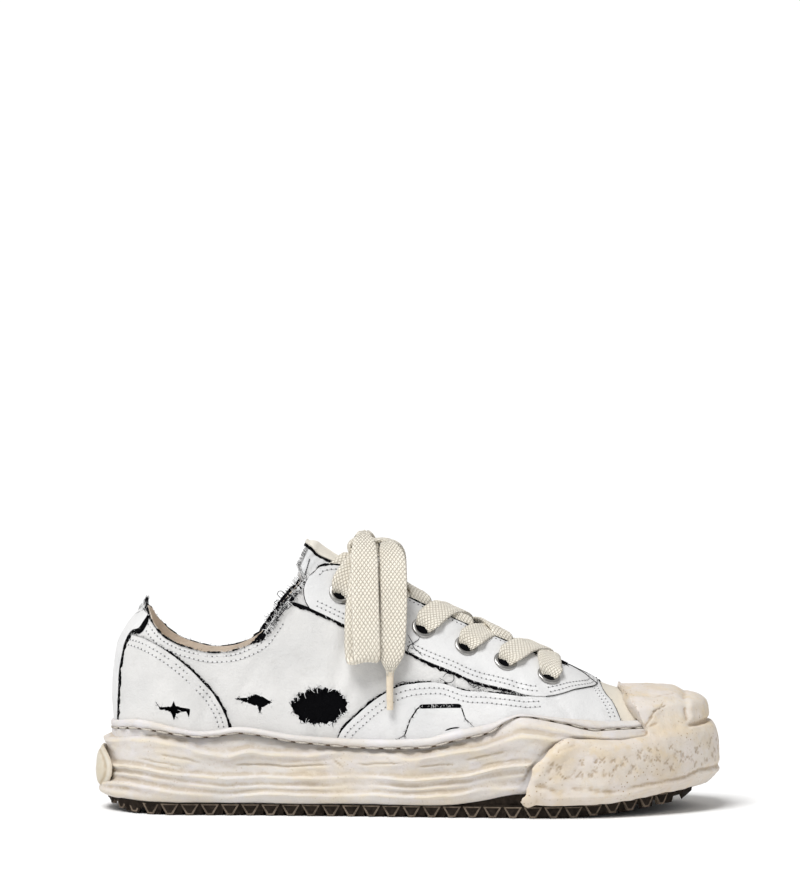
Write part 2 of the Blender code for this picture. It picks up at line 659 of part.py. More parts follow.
def build_heel_patch():
    """A lump of rubber stuck on the back of the side wall."""
    loft = Loft()
    rows = []
    for z in np.linspace(PATCH["low"], PATCH["high"], 6):
        row = []
        for a in np.linspace(-1, 1, 7):
            s, side = np.array([abs(a) * PATCH["reach"]]), np.array([MEDIAL if a > 0 else LATERAL])
            x = station_x(s)
            bottom = outsole_top(x) + SOLE_GAP
            v = np.clip((z - bottom) / (groove(x) - GAP / 2 - bottom), 0, 1)
            row.append(wall_loop(s, side, v, grow=PATCH["thick"] + 2.4 * GAP)[0])
        rows.append(loft.add(row))
    for first, second in zip(rows, rows[1:]):
        loft.strip(first, second)
    patch = loft.make("heel_patch", material("patch_rubber", (0.82, 0.77, 0.68), 0.55))
    solidify(patch, PATCH["thick"])
    bevel = patch.modifiers.new("edge", "BEVEL")
    bevel.width = PATCH["edge"] * MM
    bevel.segments = 1
    bevel.limit_method = "ANGLE"
    bevel.angle_limit = math.radians(50)


def eyelet_places():
    """(name, centre, normal) of each eyelet, centre on the leather."""
    for name, side in SIDES:
        for k, (x, z) in enumerate(zip(EYELETS["x"], EYELETS["z"]), 1):
            s = station_of(x)
            t = t_at_height(x, z)
            yield f"eyelet_{name}_{k}", body(s, side, t), normal(s, side, t)


def build_eyelets():
    """A ring of metal round each hole for the lace."""
    tube = (EYELET_OUTER - EYELET_INNER) / 2
    nickel = material("nickel", (0.75, 0.74, 0.72), 0.25, 1.0)
    for name, centre, out in eyelet_places():
        bpy.ops.mesh.primitive_torus_add(
            major_segments=12,
            minor_segments=4,
            major_radius=(EYELET_OUTER - tube) * MM,
            minor_radius=tube * MM,
        )
        ring = primitive(name, nickel)
        ring.location = Vector((centre + out * (tube + GAP + 0.1)) * MM)
        ring.rotation_euler = Vector(out).to_track_quat("Z", "Y").to_euler()


def strip_of_lace(path, across, widths, thick, name, look):
    """A flat strip along path: across gives the direction of its width at each point."""
    path, across = np.asarray(path, float), np.asarray(across, float)
    along = np.gradient(path, axis=0)
    along /= np.linalg.norm(along, axis=1, keepdims=True)
    across = across - along * (across * along).sum(axis=1, keepdims=True)
    across /= np.linalg.norm(across, axis=1, keepdims=True)
    up = np.cross(along, across)
    section = ((-0.5, -0.5), (-0.5, 0.5), (0.5, 0.5), (0.5, -0.5))
    loft = Loft()
    rows = []
    for spot, a, u, wide in zip(path, across, up, widths):
        rows.append(loft.add([spot + a * wide * p + u * thick * q for p, q in section]))
    for first, second in zip(rows, rows[1:]):
        loft.strip(first, second, closed=True)
    loft.face(*rows[0])
    loft.face(*rows[-1])
    return loft.make(name, look)


def crossing(start, end, out, name, look, share=1.0):
    """A strip over this share of the throat, from start to end.

    Both are (x, q), where q is t less 1 on the lateral side and 1 less t on the medial side.
    """
    u = np.linspace(0, 1, 7)
    sinking = np.clip((u - 0.12) / (1 - 0.24 * share), 0, 1)
    sunk = LACE_DIP * np.sin(math.pi * share * sinking) ** 2
    x = start[0] + (end[0] - start[0]) * u
    q = start[1] + (end[1] - start[1]) * u
    s = np.array([station_of(value) for value in x])
    side, t = np.where(q < 0, LATERAL, MEDIAL), 1 - np.abs(q)
    n = normal(s, side, t)
    path = over(s, side, t, out - sunk)
    along = np.gradient(path, axis=0)
    widths = LACE_WIDTH * (0.55 + 0.35 * np.clip(np.minimum(u, 1 - u) / 0.15, 0, 1))
    return strip_of_lace(path, np.cross(n, along), widths, CROSSING_THICK, name, look)


def build_lace_crossings():
    """Every crossing, joined as one solid that lies clear of the eyelets under it."""
    cotton = material("lace_cotton", (0.85, 0.8, 0.7), 0.9)
    spots = {
        name: [(x, side * (1 - t_at_height(x, z))) for x, z in zip(EYELETS["x"], EYELETS["z"])]
        for name, side in SIDES
    }
    lateral, medial = spots["lateral"], spots["medial"]
    runs = [("toe_bar", "toe_bar", lateral[-1], medial[-1], 1.0)]
    for k in range(len(lateral) - 1):
        runs.append((f"lateral_over_{k}", "lateral_over", lateral[k], medial[k + 1], 1.0))
        runs.append((f"medial_over_{k}", "medial_over", medial[k], lateral[k + 1], 1.0))
    knot_x, knot_q = UNDER_KNOT["x"], UNDER_KNOT["q"]
    runs.append(("lateral_to_knot", "lateral_to_knot", lateral[0], (knot_x, knot_q), 0.5))
    runs.append(("medial_to_knot", "medial_to_knot", medial[0], (knot_x, -knot_q), 0.5))
    strips = []
    for name, kind, start, end, share in runs:
        strips.append(crossing(start, end, CROSSING_OUT[kind], name, cotton, share))
    first = strips[0]
    first.name = "lace_crossings"
    for other in strips[1:]:
        joined = first.modifiers.new(other.name, "BOOLEAN")
        joined.operation = "UNION"
        joined.solver = "EXACT"
        joined.object = as_cutter(other)


def through(points, count):
    """count points on a smooth curve through the points, evenly spaced by length."""
    points = np.asarray(points, float)
    way = np.concatenate([[0], np.cumsum(np.linalg.norm(np.diff(points, axis=0), axis=1))])
    at = np.linspace(0, way[-1], count)
    slopes = np.gradient(points, way, axis=0)
    i = np.clip(np.searchsorted(way, at, side="right") - 1, 0, len(way) - 2)
    h = (way[i + 1] - way[i])[:, None]
    u = ((at - way[i]) / (way[i + 1] - way[i]))[:, None]
    return (
        (1 + 2 * u) * (1 - u) ** 2 * points[i]
        + u * (1 - u) ** 2 * h * slopes[i]
        + u * u * (3 - 2 * u) * points[i + 1]
        + u * u * (u - 1) * h * slopes[i + 1]
    )


def build_bow():
    """The knot, its two loops and its two ends, each with its aglet."""
    cotton = material("lace_cotton", (0.85, 0.8, 0.7), 0.9)
    resin = material("aglet_resin", (0.8, 0.7, 0.55), 0.35)
    bpy.ops.mesh.primitive_uv_sphere_add(segments=12, ring_count=8, radius=0.5)
    knot = primitive("bow_knot", cotton)
    knot.location = Vector(KNOT["centre"]) * MM
    knot.scale = Vector(KNOT["size"]) * MM
    for name, side in SIDES:
        mirror = np.array([1, -side, 1])
        loop = through(LOOP_ROUTE, 26) * mirror
        end = through(END_ROUTE, 16) * mirror
        tapered = LACE_WIDTH - (LACE_WIDTH - END_TIP_WIDTH) * np.clip(np.linspace(-5, 1, len(end)), 0, 1)
        for node, route, widths in (
            (f"bow_loop_{name}", loop, np.full(len(loop), LACE_WIDTH)),
            (f"lace_end_{name}", end, tapered),
        ):
            across = np.tile((1.0, 0, 0), (len(route), 1))
            strip_of_lace(route, across, widths, LACE_THICK, node, cotton)
        bpy.ops.mesh.primitive_cone_add(
            vertices=12,
            radius1=AGLET_RADIUS * 0.85 * MM,
            radius2=AGLET_RADIUS * MM,
            depth=AGLET_LENGTH * MM,
        )
        aglet = primitive(f"aglet_{name}", resin)
        aglet.location = Vector((end[-1] - (0, 0, GAP + AGLET_LENGTH / 2)) * MM)


parts = bpy.data.collections.new("worn_sneaker")
cutters = bpy.data.collections.new("cutters")


def main():
    """Clears the scene and builds every piece."""
    for old in list(bpy.data.objects):
        bpy.data.objects.remove(old, do_unlink=True)
    bpy.context.scene.collection.children.link(parts)
    bpy.context.scene.collection.children.link(cutters)
    build_outsole()
    build_midsole()
    build_welt()
    build_upper()
    build_insole()
    build_tongue()
    build_bumper()
    build_heel_patch()
    build_eyelets()
    build_lace_crossings()
    build_bow()


main()
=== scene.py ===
"""The looks of a worn low-top sneaker for the right foot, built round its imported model.

Tables are in millimetres on the shoe: +X to the toe, +Z up, and -Y to the lateral side, which the camera
sees. body() is the upper's outer surface, from the same sections as the part's. Its stations s run from 0 at
the heel to 1 at the toe. A chart of it, u along the foot and w up one side and down the other, is what panels
are cut from and what seams are drawn on.
"""

import math

import bpy
import numpy as np
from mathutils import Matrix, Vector
from mathutils.geometry import delaunay_2d_cdt
from mathutils.kdtree import KDTree


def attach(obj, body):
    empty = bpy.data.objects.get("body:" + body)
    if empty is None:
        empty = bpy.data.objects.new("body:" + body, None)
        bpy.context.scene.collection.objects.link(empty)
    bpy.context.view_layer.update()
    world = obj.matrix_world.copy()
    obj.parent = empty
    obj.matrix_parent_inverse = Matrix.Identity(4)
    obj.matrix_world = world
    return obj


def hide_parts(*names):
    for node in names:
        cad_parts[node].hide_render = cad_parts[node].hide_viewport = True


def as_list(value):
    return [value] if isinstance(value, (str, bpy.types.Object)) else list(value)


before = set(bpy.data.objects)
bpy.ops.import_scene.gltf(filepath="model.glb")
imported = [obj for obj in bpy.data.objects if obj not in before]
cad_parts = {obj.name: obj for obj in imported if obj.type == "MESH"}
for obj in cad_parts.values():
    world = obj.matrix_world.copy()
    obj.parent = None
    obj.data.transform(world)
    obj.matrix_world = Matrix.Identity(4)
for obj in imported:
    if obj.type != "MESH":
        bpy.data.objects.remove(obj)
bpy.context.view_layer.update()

MM = 0.001
LATERAL, MEDIAL = -1, 1
SIDES = (("lateral", LATERAL), ("medial", MEDIAL))

# ---- Sizes that the part has too ----
# The upper, without its panels.
HEEL_X, TOE_X = -140.0, 134.0
HEEL_ROUND, TOE_ROUND = 36.0, 72.0
HEEL_POWER, TOE_POWER = 2.1, 2.2
WALL = 2.0
THROAT_FRONT = 77.0
COLLAR_END, THROAT_START = -44.0, -30.0
TOE_EDGE_T = 0.75
SECTIONS = {
    "x": (-140, -105, -75, -40, 0, 40, 65, 90, 118, 134),
    "lateral": (33, 33.5, 34, 36.5, 41, 46, 48.5, 48.5, 45, 42),
    "medial": (33, 33, 31.5, 30, 33, 41, 45.5, 47, 46, 43),
    "centre": (0, 0, -0.5, -1, -1, 0, 0.5, 2, 4, 5),
    "base": (22, 22, 21.5, 20.5, 18.5, 17, 17, 17.5, 19, 21),
    "fullness": (2.8, 2.8, 2.7, 2.6, 2.5, 2.4, 2.3, 2.3, 2.3, 2.3),
}
INSTEP = {
    "x": (-140, -91, -60, -31, 16, 45, 67, 79, 93, 103, 118, 128, 134),
    "top": (150, 146, 133.5, 120, 95.5, 82, 72.5, 66.5, 59.5, 56.5, 54.5, 50, 43),
}
HEEL_LEAN = {"z": (0, 36, 55, 77, 88, 96, 105, 150), "forward": (1.8, 1.6, 0, 2.2, 7.5, 14, 19, 32)}
HEEL_LEAN_REACH = 75.0
COLLAR = {
    "x": (-140, -136, -131, -126, -117, -105, -92, -84, -77, -70, -64, -60, -54, -48, -42),
    "z": (97.5, 95.5, 92.5, 89.5, 84, 79.5, 77, 77.6, 79.8, 83.5, 91, 97, 104, 111, 115.5),
}
MEDIAL_COLLAR_DIP = 2.0  # how much lower the collar runs on the inner side
COLLAR_STRETCH = 2.2  # the millimetres in one unit of the chart there, up and down
THROAT = {"x": (-44, -30, 30, 66, 77), "half_gap": (17, 15.5, 14.5, 13, 8)}
# The sole: the bead and the groove under it, the wall's lower edge, the tread, and how far the wall is out.
SOLE_TOP = {
    "x": (-140, -128, -97, -90, -80, -50, -10, 8, 24, 40, 47, 54, 72, 90, 97, 113, 134),
    "bead": (
        42.8, 45, 39.9, 40.6, 42.2, 38.2, 36.8, 37.4, 41.5, 44.7, 47.3, 49.1, 47.1, 45.2, 44.8, 44.4, 43.8
    ),
    "groove": (39, 40.6, 37.3, 37.8, 39.2, 35, 32.6, 33.1, 36.8, 40.7, 45.3, 47.8, 45, 41, 41.2, 41.1, 40.3),
}
LIP = {"x": (-141, -112, -70, -22, 14, 33, 54, 62, 134), "z": (8.4, 6.5, 6.3, 6.9, 6.3, 7.8, 10.8, 11, 13)}
GROUND = {
    "x": (-140, -137.5, -134, -128, -118, -60, 0, 45, 76, 84, 93, 102, 112, 122, 130, 134),
    "tread": (5.2, 3.0, 1.6, 0.6, 0, 0, 0, 0, 0, 0.5, 1.5, 2.3, 3.6, 4.6, 5.6, 7.5),
}
SIDE_WALL = {"v": (0, 0.12, 0.3, 0.5, 0.7, 0.88, 1), "out": (5.6, 7.4, 7.6, 7.2, 6.7, 5.8, 4.0)}
BUMPER = {
    "x": (52.5, 55, 58, 62.5, 68, 73, 79, 91, 98, 108, 114, 134),
    "top": (11, 17, 23.5, 29.5, 34.6, 37.4, 38.6, 37.4, 36.4, 37, 39.5, 43),
}
BUMPER_FOOT = {
    "x": (52.5, 57, 64, 83, 102, 112, 122, 133, 141),
    "z": (8.9, 6.4, 4.6, 4.9, 5.3, 7.0, 8.2, 9.6, 12.5),
}
EYELETS = {"x": (-31.4, -11.8, 7.7, 28.0, 46.6, 67.0), "z": (104.5, 96.0, 87.5, 79.0, 71.5, 64.5)}
TONGUE = {
    "x": (-46.5, -45, -42, -36, -30, -20, 30, 64, 84),
    "half": (20.5, 23, 25.5, 27, 27, 26.5, 25, 22, 18),
    "puff": (2.4, 3.5, 4.8, 4.9, 4.4, 1.5, 1.2, 0, 0),
}
TONGUE_THICK, TONGUE_SWEEP = 4.0, 0.014  # how far its top runs on towards its sides is in stations
PATCH = {"reach": 0.056, "middle": 19.85, "half_height": 10.75}  # its reach each way is in stations
LACE_WIDTH, LACE_THICK = 13.0, 2.0
KNOT_CENTRE = (-20.5, 0, 124.6)
LOOP_ROUTE = (
    (-20.3, -3.5, 129.7),
    (-20.3, -11, 130),
    (-20.2, -19, 127.5),
    (-20, -27.5, 120.3),
    (-19.7, -34.8, 108.5),
    (-19.3, -40.3, 96),
    (-19, -43.5, 84),
    (-19, -45.1, 76),
    (-20.2, -43.2, 73),
    (-22.1, -40.6, 74.8),
    (-22.8, -39.3, 84),
    (-22.7, -36.4, 95.5),
    (-21.4, -32, 107),
    (-20.6, -25.5, 117),
    (-20.4, -17, 123.6),
    (-20.4, -9.2, 126),
)
END_ROUTE = (
    (-6.8, -0.8, 125.4),
    (-6.8, -9, 125.8),
    (-6.7, -18.5, 122.6),
    (-6.4, -27.5, 114),
    (-6.1, -34, 102),
    (-6.5, -38.8, 89.5),
    (-7.3, -41.9, 78),
    (-7.8, -43.4, 67),
)
AGLET_LENGTH, AGLET_RADIUS = 16.0, 1.9


def between(u, step, first, last, first_slope, last_slope):
    """The cubic with those ends and slopes, over one step, at u from 0 to 1."""
    return (
        (1 + 2 * u) * (1 - u) ** 2 * first
        + u * (1 - u) ** 2 * step * first_slope
        + u * u * (3 - 2 * u) * last
        + u * u * (u - 1) * step * last_slope
    )


def smooth(xs, ys):
    """A curve through the points that doesn't overshoot them (monotone cubic), for arrays."""
    xs, ys = np.asarray(xs, float), np.asarray(ys, float)
    steps, rises = np.diff(xs), np.diff(ys)
    slopes = rises / steps
    tangents = np.zeros(len(xs))
    tangents[0], tangents[-1] = slopes[0], slopes[-1]
    for i in range(1, len(xs) - 1):
        if slopes[i - 1] * slopes[i] > 0:
            a, b = 2 * steps[i] + steps[i - 1], steps[i] + 2 * steps[i - 1]
            tangents[i] = (a + b) / (a / slopes[i - 1] + b / slopes[i])

    def at(x):
        x = np.clip(np.asarray(x, float), xs[0], xs[-1])
        i = np.clip(np.searchsorted(xs, x, side="right") - 1, 0, len(xs) - 2)
        u = (x - xs[i]) / steps[i]
        return between(u, steps[i], ys[i], ys[i + 1], tangents[i], tangents[i + 1])

    return at


def by(table, column):
    """The column as a curve over the table's first column."""
    first = next(iter(table))
    return smooth(table[first], table[column])


half_width = {LATERAL: by(SECTIONS, "lateral"), MEDIAL: by(SECTIONS, "medial")}
centre_line, footbed, fullness = by(SECTIONS, "centre"), by(SECTIONS, "base"), by(SECTIONS, "fullness")
instep_top, heel_lean = by(INSTEP, "top"), by(HEEL_LEAN, "forward")
collar_z, throat_gap = by(COLLAR, "z"), by(THROAT, "half_gap")
bead_top, groove = by(SOLE_TOP, "bead"), by(SOLE_TOP, "groove")
lip_z, tread_z = by(LIP, "z"), by(GROUND, "tread")
wall_out = by(SIDE_WALL, "out")
bumper_top, bumper_foot = by(BUMPER, "top"), by(BUMPER_FOOT, "z")
tongue_half, tongue_puff = by(TONGUE, "half"), by(TONGUE, "puff")


def station_x(s):
    """x at station s, 0 at the heel and 1 at the toe. The ends are eased as arcs."""
    s = np.asarray(s, float)
    heel, toe = HEEL_ROUND * math.pi / 2, TOE_ROUND * math.pi / 2
    straight = TOE_X - HEEL_X - HEEL_ROUND - TOE_ROUND
    way = s * (heel + straight + toe)
    at_heel = HEEL_X + HEEL_ROUND * (1 - np.cos(np.clip(way / HEEL_ROUND, 0, math.pi / 2)))
    left = np.clip((heel + straight + toe - way) / TOE_ROUND, 0, math.pi / 2)
    at_toe = TOE_X - TOE_ROUND * (1 - np.cos(left))
    middle = HEEL_X + HEEL_ROUND + way - heel
    return np.where(way < heel, at_heel, np.where(way < heel + straight, middle, at_toe))


STATION_TABLE = np.linspace(0, 1, 6001)
X_TABLE = station_x(STATION_TABLE)


def station_of(x):
    """The station at x."""
    return np.interp(x, X_TABLE, STATION_TABLE)


def width(s, side):
    """The half width at the footbed, rounded off at the heel and the toe."""
    x = station_x(s)
    heel = np.clip((x - HEEL_X) / HEEL_ROUND, 0, 1)
    toe = np.clip((TOE_X - x) / TOE_ROUND, 0, 1)
    full = np.where(side < 0, half_width[LATERAL](x), half_width[MEDIAL](x))
    rounded = (1 - (1 - heel) ** HEEL_POWER) ** (1 / HEEL_POWER)
    return full * rounded * (1 - (1 - toe) ** TOE_POWER) ** (1 / TOE_POWER)


def body(s, side, t):
    """The upper's outer surface, in mm: t is 0 at the footbed and 1 over the middle of the foot."""
    s, side, t = np.broadcast_arrays(np.asarray(s, float), side, np.asarray(t, float))
    x = station_x(s)
    base, power, angle = footbed(x), fullness(x), np.clip(t, 0, 1) * math.pi / 2
    z = base + (instep_top(x) - base) * np.sin(angle) ** (2 / power)
    y = centre_line(x) + side * width(s, side) * np.abs(np.cos(angle)) ** (2 / power)
    near_heel = np.clip(1 - (x - HEEL_X) / HEEL_LEAN_REACH, 0, 1) ** 2
    return np.stack([x + heel_lean(z) * near_heel, y, z], axis=-1)


def unit(vectors):
    return vectors / np.maximum(np.linalg.norm(vectors, axis=-1, keepdims=True), 1e-9)


def lengths(points):
    """How far along their line each of the points lies."""
    return np.concatenate([[0], np.cumsum(np.linalg.norm(np.diff(points, axis=0), axis=1))])


def peak(offset, wide):
    """1 where the offset is 0, about a third where it is wide, and soon 0 past that."""
    return np.exp(-((offset / wide) ** 2))


def ease(x):
    """0 below 0, 1 above 1, and smooth between."""
    x = np.clip(x, 0, 1)
    return x * x * (3 - 2 * x)


def normal(s, side, t):
    """The outward normal of body(), by differences."""
    s, side, t = np.broadcast_arrays(np.asarray(s, float), side, np.asarray(t, float))
    s, t = np.clip(s, 0.0005, 0.9985), np.clip(t, 0.004, 0.99)
    along = body(s + 0.0004, side, t) - body(s - 0.0004, side, t)
    up = body(s, side, t + 0.003) - body(s, side, t - 0.003)
    return unit(np.cross(along, up) * -side[..., None])


def over(s, side, t, out):
    """A point out millimetres outside body(). Where the two sides meet, it takes their mean normal."""
    n = normal(s, side, t)
    shared = (np.asarray(s) <= 0) | (np.asarray(s) >= 1) | (np.asarray(t) >= 1)
    mean = n + normal(s, -np.asarray(side), t)
    n = unit(np.where(shared[..., None], mean * (1, 0, 1), n))
    return body(s, side, t) + n * np.asarray(out)[..., None]


def squared(s, n):
    """Plan normals, of length 1, that point straight back at the heel's middle and ahead at the toe's."""
    at_end = ((s <= 0) | (s >= 1))[..., None]
    return unit(np.where(at_end & (np.arange(2) == 1), 0, n))


def outline(s, side, out):
    """Plan view of the footbed's edge, out millimetres outside it: x and y."""
    s, side = np.broadcast_arrays(np.asarray(s, float), side)
    a, b = np.clip(s - 0.0005, 0, 1), np.clip(s + 0.0005, 0, 1)

    def at(where):
        x = station_x(where)
        return np.stack([x, centre_line(x) + side * width(where, side)], axis=-1)

    along = at(b) - at(a)
    n = np.stack([along[..., 1], -along[..., 0]], axis=-1) * -side[..., None]
    return at(s) + squared(s, n) * np.asarray(out)[..., None]


def t_at_height(x, z):
    """t where body() has the height z."""
    share = np.clip((z - footbed(x)) / (instep_top(x) - footbed(x)), 0, 1)
    return np.arcsin(share ** (fullness(x) / 2)) * 2 / math.pi


def t_at_half_gap(s, side, gap):
    """t where body() lies gap from the centre line, measured level."""
    share = np.clip(gap / np.maximum(width(s, side), 0.1), 0, 1)
    return np.arccos(share ** (fullness(station_x(s)) / 2)) * 2 / math.pi


FRONT_S = station_of(THROAT_FRONT)


def collar_middle(x):
    """1 along the middle of the collar, and 0 at both of its ends."""
    return np.exp(-(((x + 92) / 26) ** 4))


def edge_t(s, side):
    """t at the edge of the opening: collar, then throat. Ahead of the throat it only divides the vamp."""
    x = station_x(s)
    dip = np.where(side > 0, MEDIAL_COLLAR_DIP * collar_middle(x), 0)
    collar = t_at_height(x, collar_z(x) - dip)
    throat = t_at_half_gap(np.minimum(s, FRONT_S), side, throat_gap(x))
    turn = np.clip((x - COLLAR_END) / (THROAT_START - COLLAR_END), 0, 1)
    ahead = np.clip((s - FRONT_S) / (1 - FRONT_S), 0, 1)
    return (collar * (1 - turn) + throat * turn) * (1 - ahead) + TOE_EDGE_T * ahead


def through(points, count):
    """count points on a smooth curve through the points, evenly spaced by length."""
    points = np.asarray(points, float)
    way = lengths(points)
    at = np.linspace(0, way[-1], count)
    slopes = np.gradient(points, way, axis=0)
    i = np.clip(np.searchsorted(way, at, side="right") - 1, 0, len(way) - 2)
    step = (way[i + 1] - way[i])[:, None]
    return between((at - way[i])[:, None] / step, step, points[i], points[i + 1], slopes[i], slopes[i + 1])


def noise(points, size, seed=0):
    """Smooth noise from -1 to 1, whose lumps are about size across."""
    p = np.asarray(points, float) / size + seed * 17.31
    cell = np.floor(p)
    share = (p - cell) ** 2 * (3 - 2 * (p - cell))
    spread = np.array((127.1, 311.7, 74.7))[: p.shape[-1]]
    total = 0.0
    for corner in np.ndindex(*(2,) * p.shape[-1]):
        random = np.sin((cell + corner) @ spread) * 43758.5453
        weight = np.prod(np.where(corner, share, 1 - share), axis=-1)
        total = total + weight * (2 * (random - np.floor(random)) - 1)
    return total


def lumps(points, layers):
    """Layers of noise, each (height, size, seed), added up."""
    return sum(height * noise(points, size, seed) for height, size, seed in layers)


# ---- Materials ----
class Look:
    """A Principled material and the nodes that feed it. Lengths in its nodes are in metres."""

    def __init__(self, name, slot, **sockets):
        self.slot = slot
        self.material = bpy.data.materials.new(name)
        self.material.use_nodes = True
        self.tree = self.material.node_tree
        self.shader = self.tree.nodes["Principled BSDF"]
        for socket, value in sockets.items():
            self.put(self.shader.inputs[socket.replace("_", " ")], value)
        self.place = self.add("TexCoord")["Object"]

    def put(self, socket, value):
        if isinstance(value, bpy.types.NodeSocket):
            self.tree.links.new(value, socket)
        else:
            socket.default_value = (*value, 1) if socket.type == "RGBA" else value

    def add(self, kind, inputs=(), **settings):
        """A node's outputs. Inputs are named or numbered sockets with a value or another node's output."""
        node = self.tree.nodes.new("ShaderNode" + kind)
        for name, value in settings.items():
            setattr(node, name, value)
        for key, value in dict(inputs).items():
            self.put(node.inputs[key], value)
        return node.outputs

    def math(self, operation, *values):
        return self.add("Math", dict(enumerate(values)), operation=operation)[0]

    def mix(self, share, first, second, blend="MIX"):
        return self.add("Mix", {0: share, 6: first, 7: second}, data_type="RGBA", blend_type=blend)[2]

    def span(self, value, low, high, to_low=0.0, to_high=1.0):
        keys = {"Value": value, "From Min": low, "From Max": high, "To Min": to_low, "To Max": to_high}
        return self.add("MapRange", keys)[0]

    def noise(self, size, detail=3.0, rough=0.5, stretch=None):
        """Noise from 0 to 1 with lumps about size across."""
        place = self.place
        if stretch:
            place = self.add("Mapping", {"Vector": place, "Scale": stretch})[0]
        keys = {"Vector": place, "Scale": 1 / size, "Detail": detail, "Roughness": rough}
        return self.add("TexNoise", keys)["Fac"]

    def cells(self, size, feature="F1"):
        return self.add("TexVoronoi", {"Vector": self.place, "Scale": 1 / size}, feature=feature)["Distance"]

    def attribute(self, name):
        return self.add("Attribute", attribute_name=name)["Fac"]

    def bump(self, *layers):
        """Bumps of (height from 0 to 1, depth), laid over each other."""
        before = None
        for height, depth in layers:
            keys = {"Height": height, "Distance": depth, "Strength": 1.0}
            if before:
                keys["Normal"] = before
            before = self.add("Bump", keys)[0]
        self.put(self.shader.inputs["Normal"], before)

    def colour(self, value):
        self.put(self.shader.inputs["Base Color"], value)

    def rough(self, value):
        self.put(self.shader.inputs["Roughness"], value)


def leather(name, slot, light, shade, dirt, grain=0.00009):
    """Grained leather: faint tone in patches, dirt in fine smudges, and pores."""
    look = Look(name, slot, Roughness=0.5, Specular_IOR_Level=0.4, Coat_Weight=0.06, Coat_Roughness=0.35)
    patches = look.span(look.noise(0.03, 4, 0.6), 0.35, 0.68)
    smudges = look.span(look.noise(0.011, 6, 0.7), 0.55, 0.82, 0, 0.5)
    tone = look.mix(patches, light, shade)
    specks = look.span(look.noise(0.0011, 2, 0.6), 0.68, 0.78, 0, 0.35)
    look.colour(look.mix(specks, look.mix(smudges, tone, dirt), dirt))
    look.rough(look.span(look.noise(0.006, 4), 0.3, 0.7, 0.42, 0.62))
    pores = look.cells(0.0009)
    wrinkles = look.noise(0.004, 5, 0.65)
    look.bump((wrinkles, 0.0004), (pores, grain), (look.noise(0.0003, 2), grain / 2))
    return look


def rubber(name, slot, light, shade, stain, deep, speck):
    """Old cream rubber: darker in its hollows by a point attribute, partly dirt and partly painted shade,
    with specks of dirt and soft pits.
    """
    look = Look(name, slot, Roughness=0.6, Specular_IOR_Level=0.4, Subsurface_Weight=0.06)
    look.shader.inputs["Subsurface Radius"].default_value = (0.002, 0.0014, 0.001)
    look.shader.inputs["Subsurface Scale"].default_value = 0.6
    drift = look.span(look.noise(0.026, 3, 0.5, (1, 1, 1.5)), 0.35, 0.65)
    tone = look.mix(drift, light, shade)
    patches = look.span(look.noise(0.02, 4, 0.6, (0.8, 0.8, 1.6)), 0.5, 0.72, 0, 0.7)
    tone = look.mix(patches, tone, stain)
    tone = look.mix(look.span(look.noise(0.0065, 4, 0.65), 0.51, 0.66, 0, 0.65 * speck), tone, stain)
    pale = look.span(look.noise(0.011, 3, 0.5), 0.52, 0.66, 0, 0.5)
    tone = look.mix(pale, tone, tuple(c * share for c, share in zip(light, (1.02, 1.03, 1.12))))
    worn = look.span(look.noise(0.009, 3, 0.5), 0.4, 0.62, 0.1, 0.75)
    tone = look.mix(look.math("MULTIPLY", look.attribute("crest"), worn), tone, stain)
    # Towards deep where the hollows' attribute is high: darker in hollows, creases and under the bead, partly
    # dirt and partly painted shade.
    grime_and_shade = look.attribute("grime_and_shade")
    broken = look.math("MULTIPLY", grime_and_shade, look.span(look.noise(0.0035, 4, 0.7), 0.3, 0.62, 0.25, 1))
    tone = look.mix(look.math("MINIMUM", broken, 0.6), tone, deep)
    dots = look.span(look.cells(0.002), 0.12, 0.24, 1, 0)
    some = look.span(look.noise(0.012, 3, 0.6), 0.46, 0.6, 0, speck)
    tone = look.mix(look.math("MULTIPLY", dots, some), tone, deep)
    look.colour(tone)
    look.rough(look.span(look.noise(0.009, 4), 0.3, 0.7, 0.48, 0.7))
    soft = look.noise(0.006, 4, 0.55)
    fine = look.noise(0.0007, 3, 0.6)
    pits = look.span(look.cells(0.0021), 0.0, 0.3)
    look.bump((soft, 0.0006), (pits, 0.00012), (fine, 0.00006))
    return look


def plain(name, slot, light, shade, size, roughness, depth, **sockets):
    """Two close tones in a fine noise that is its bump too."""
    look = Look(name, slot, **sockets)
    grain = look.noise(size, 4, 0.65)
    look.colour(look.mix(look.span(grain, 0.35, 0.65), light, shade))
    look.rough(look.span(look.noise(size * 4, 3), 0.3, 0.7, roughness - 0.08, roughness + 0.08))
    look.bump((grain, depth))
    return look


WEAVE, WEAVE_WIDE = 2.9, 1.9  # one cell of the braid, along and across the lace


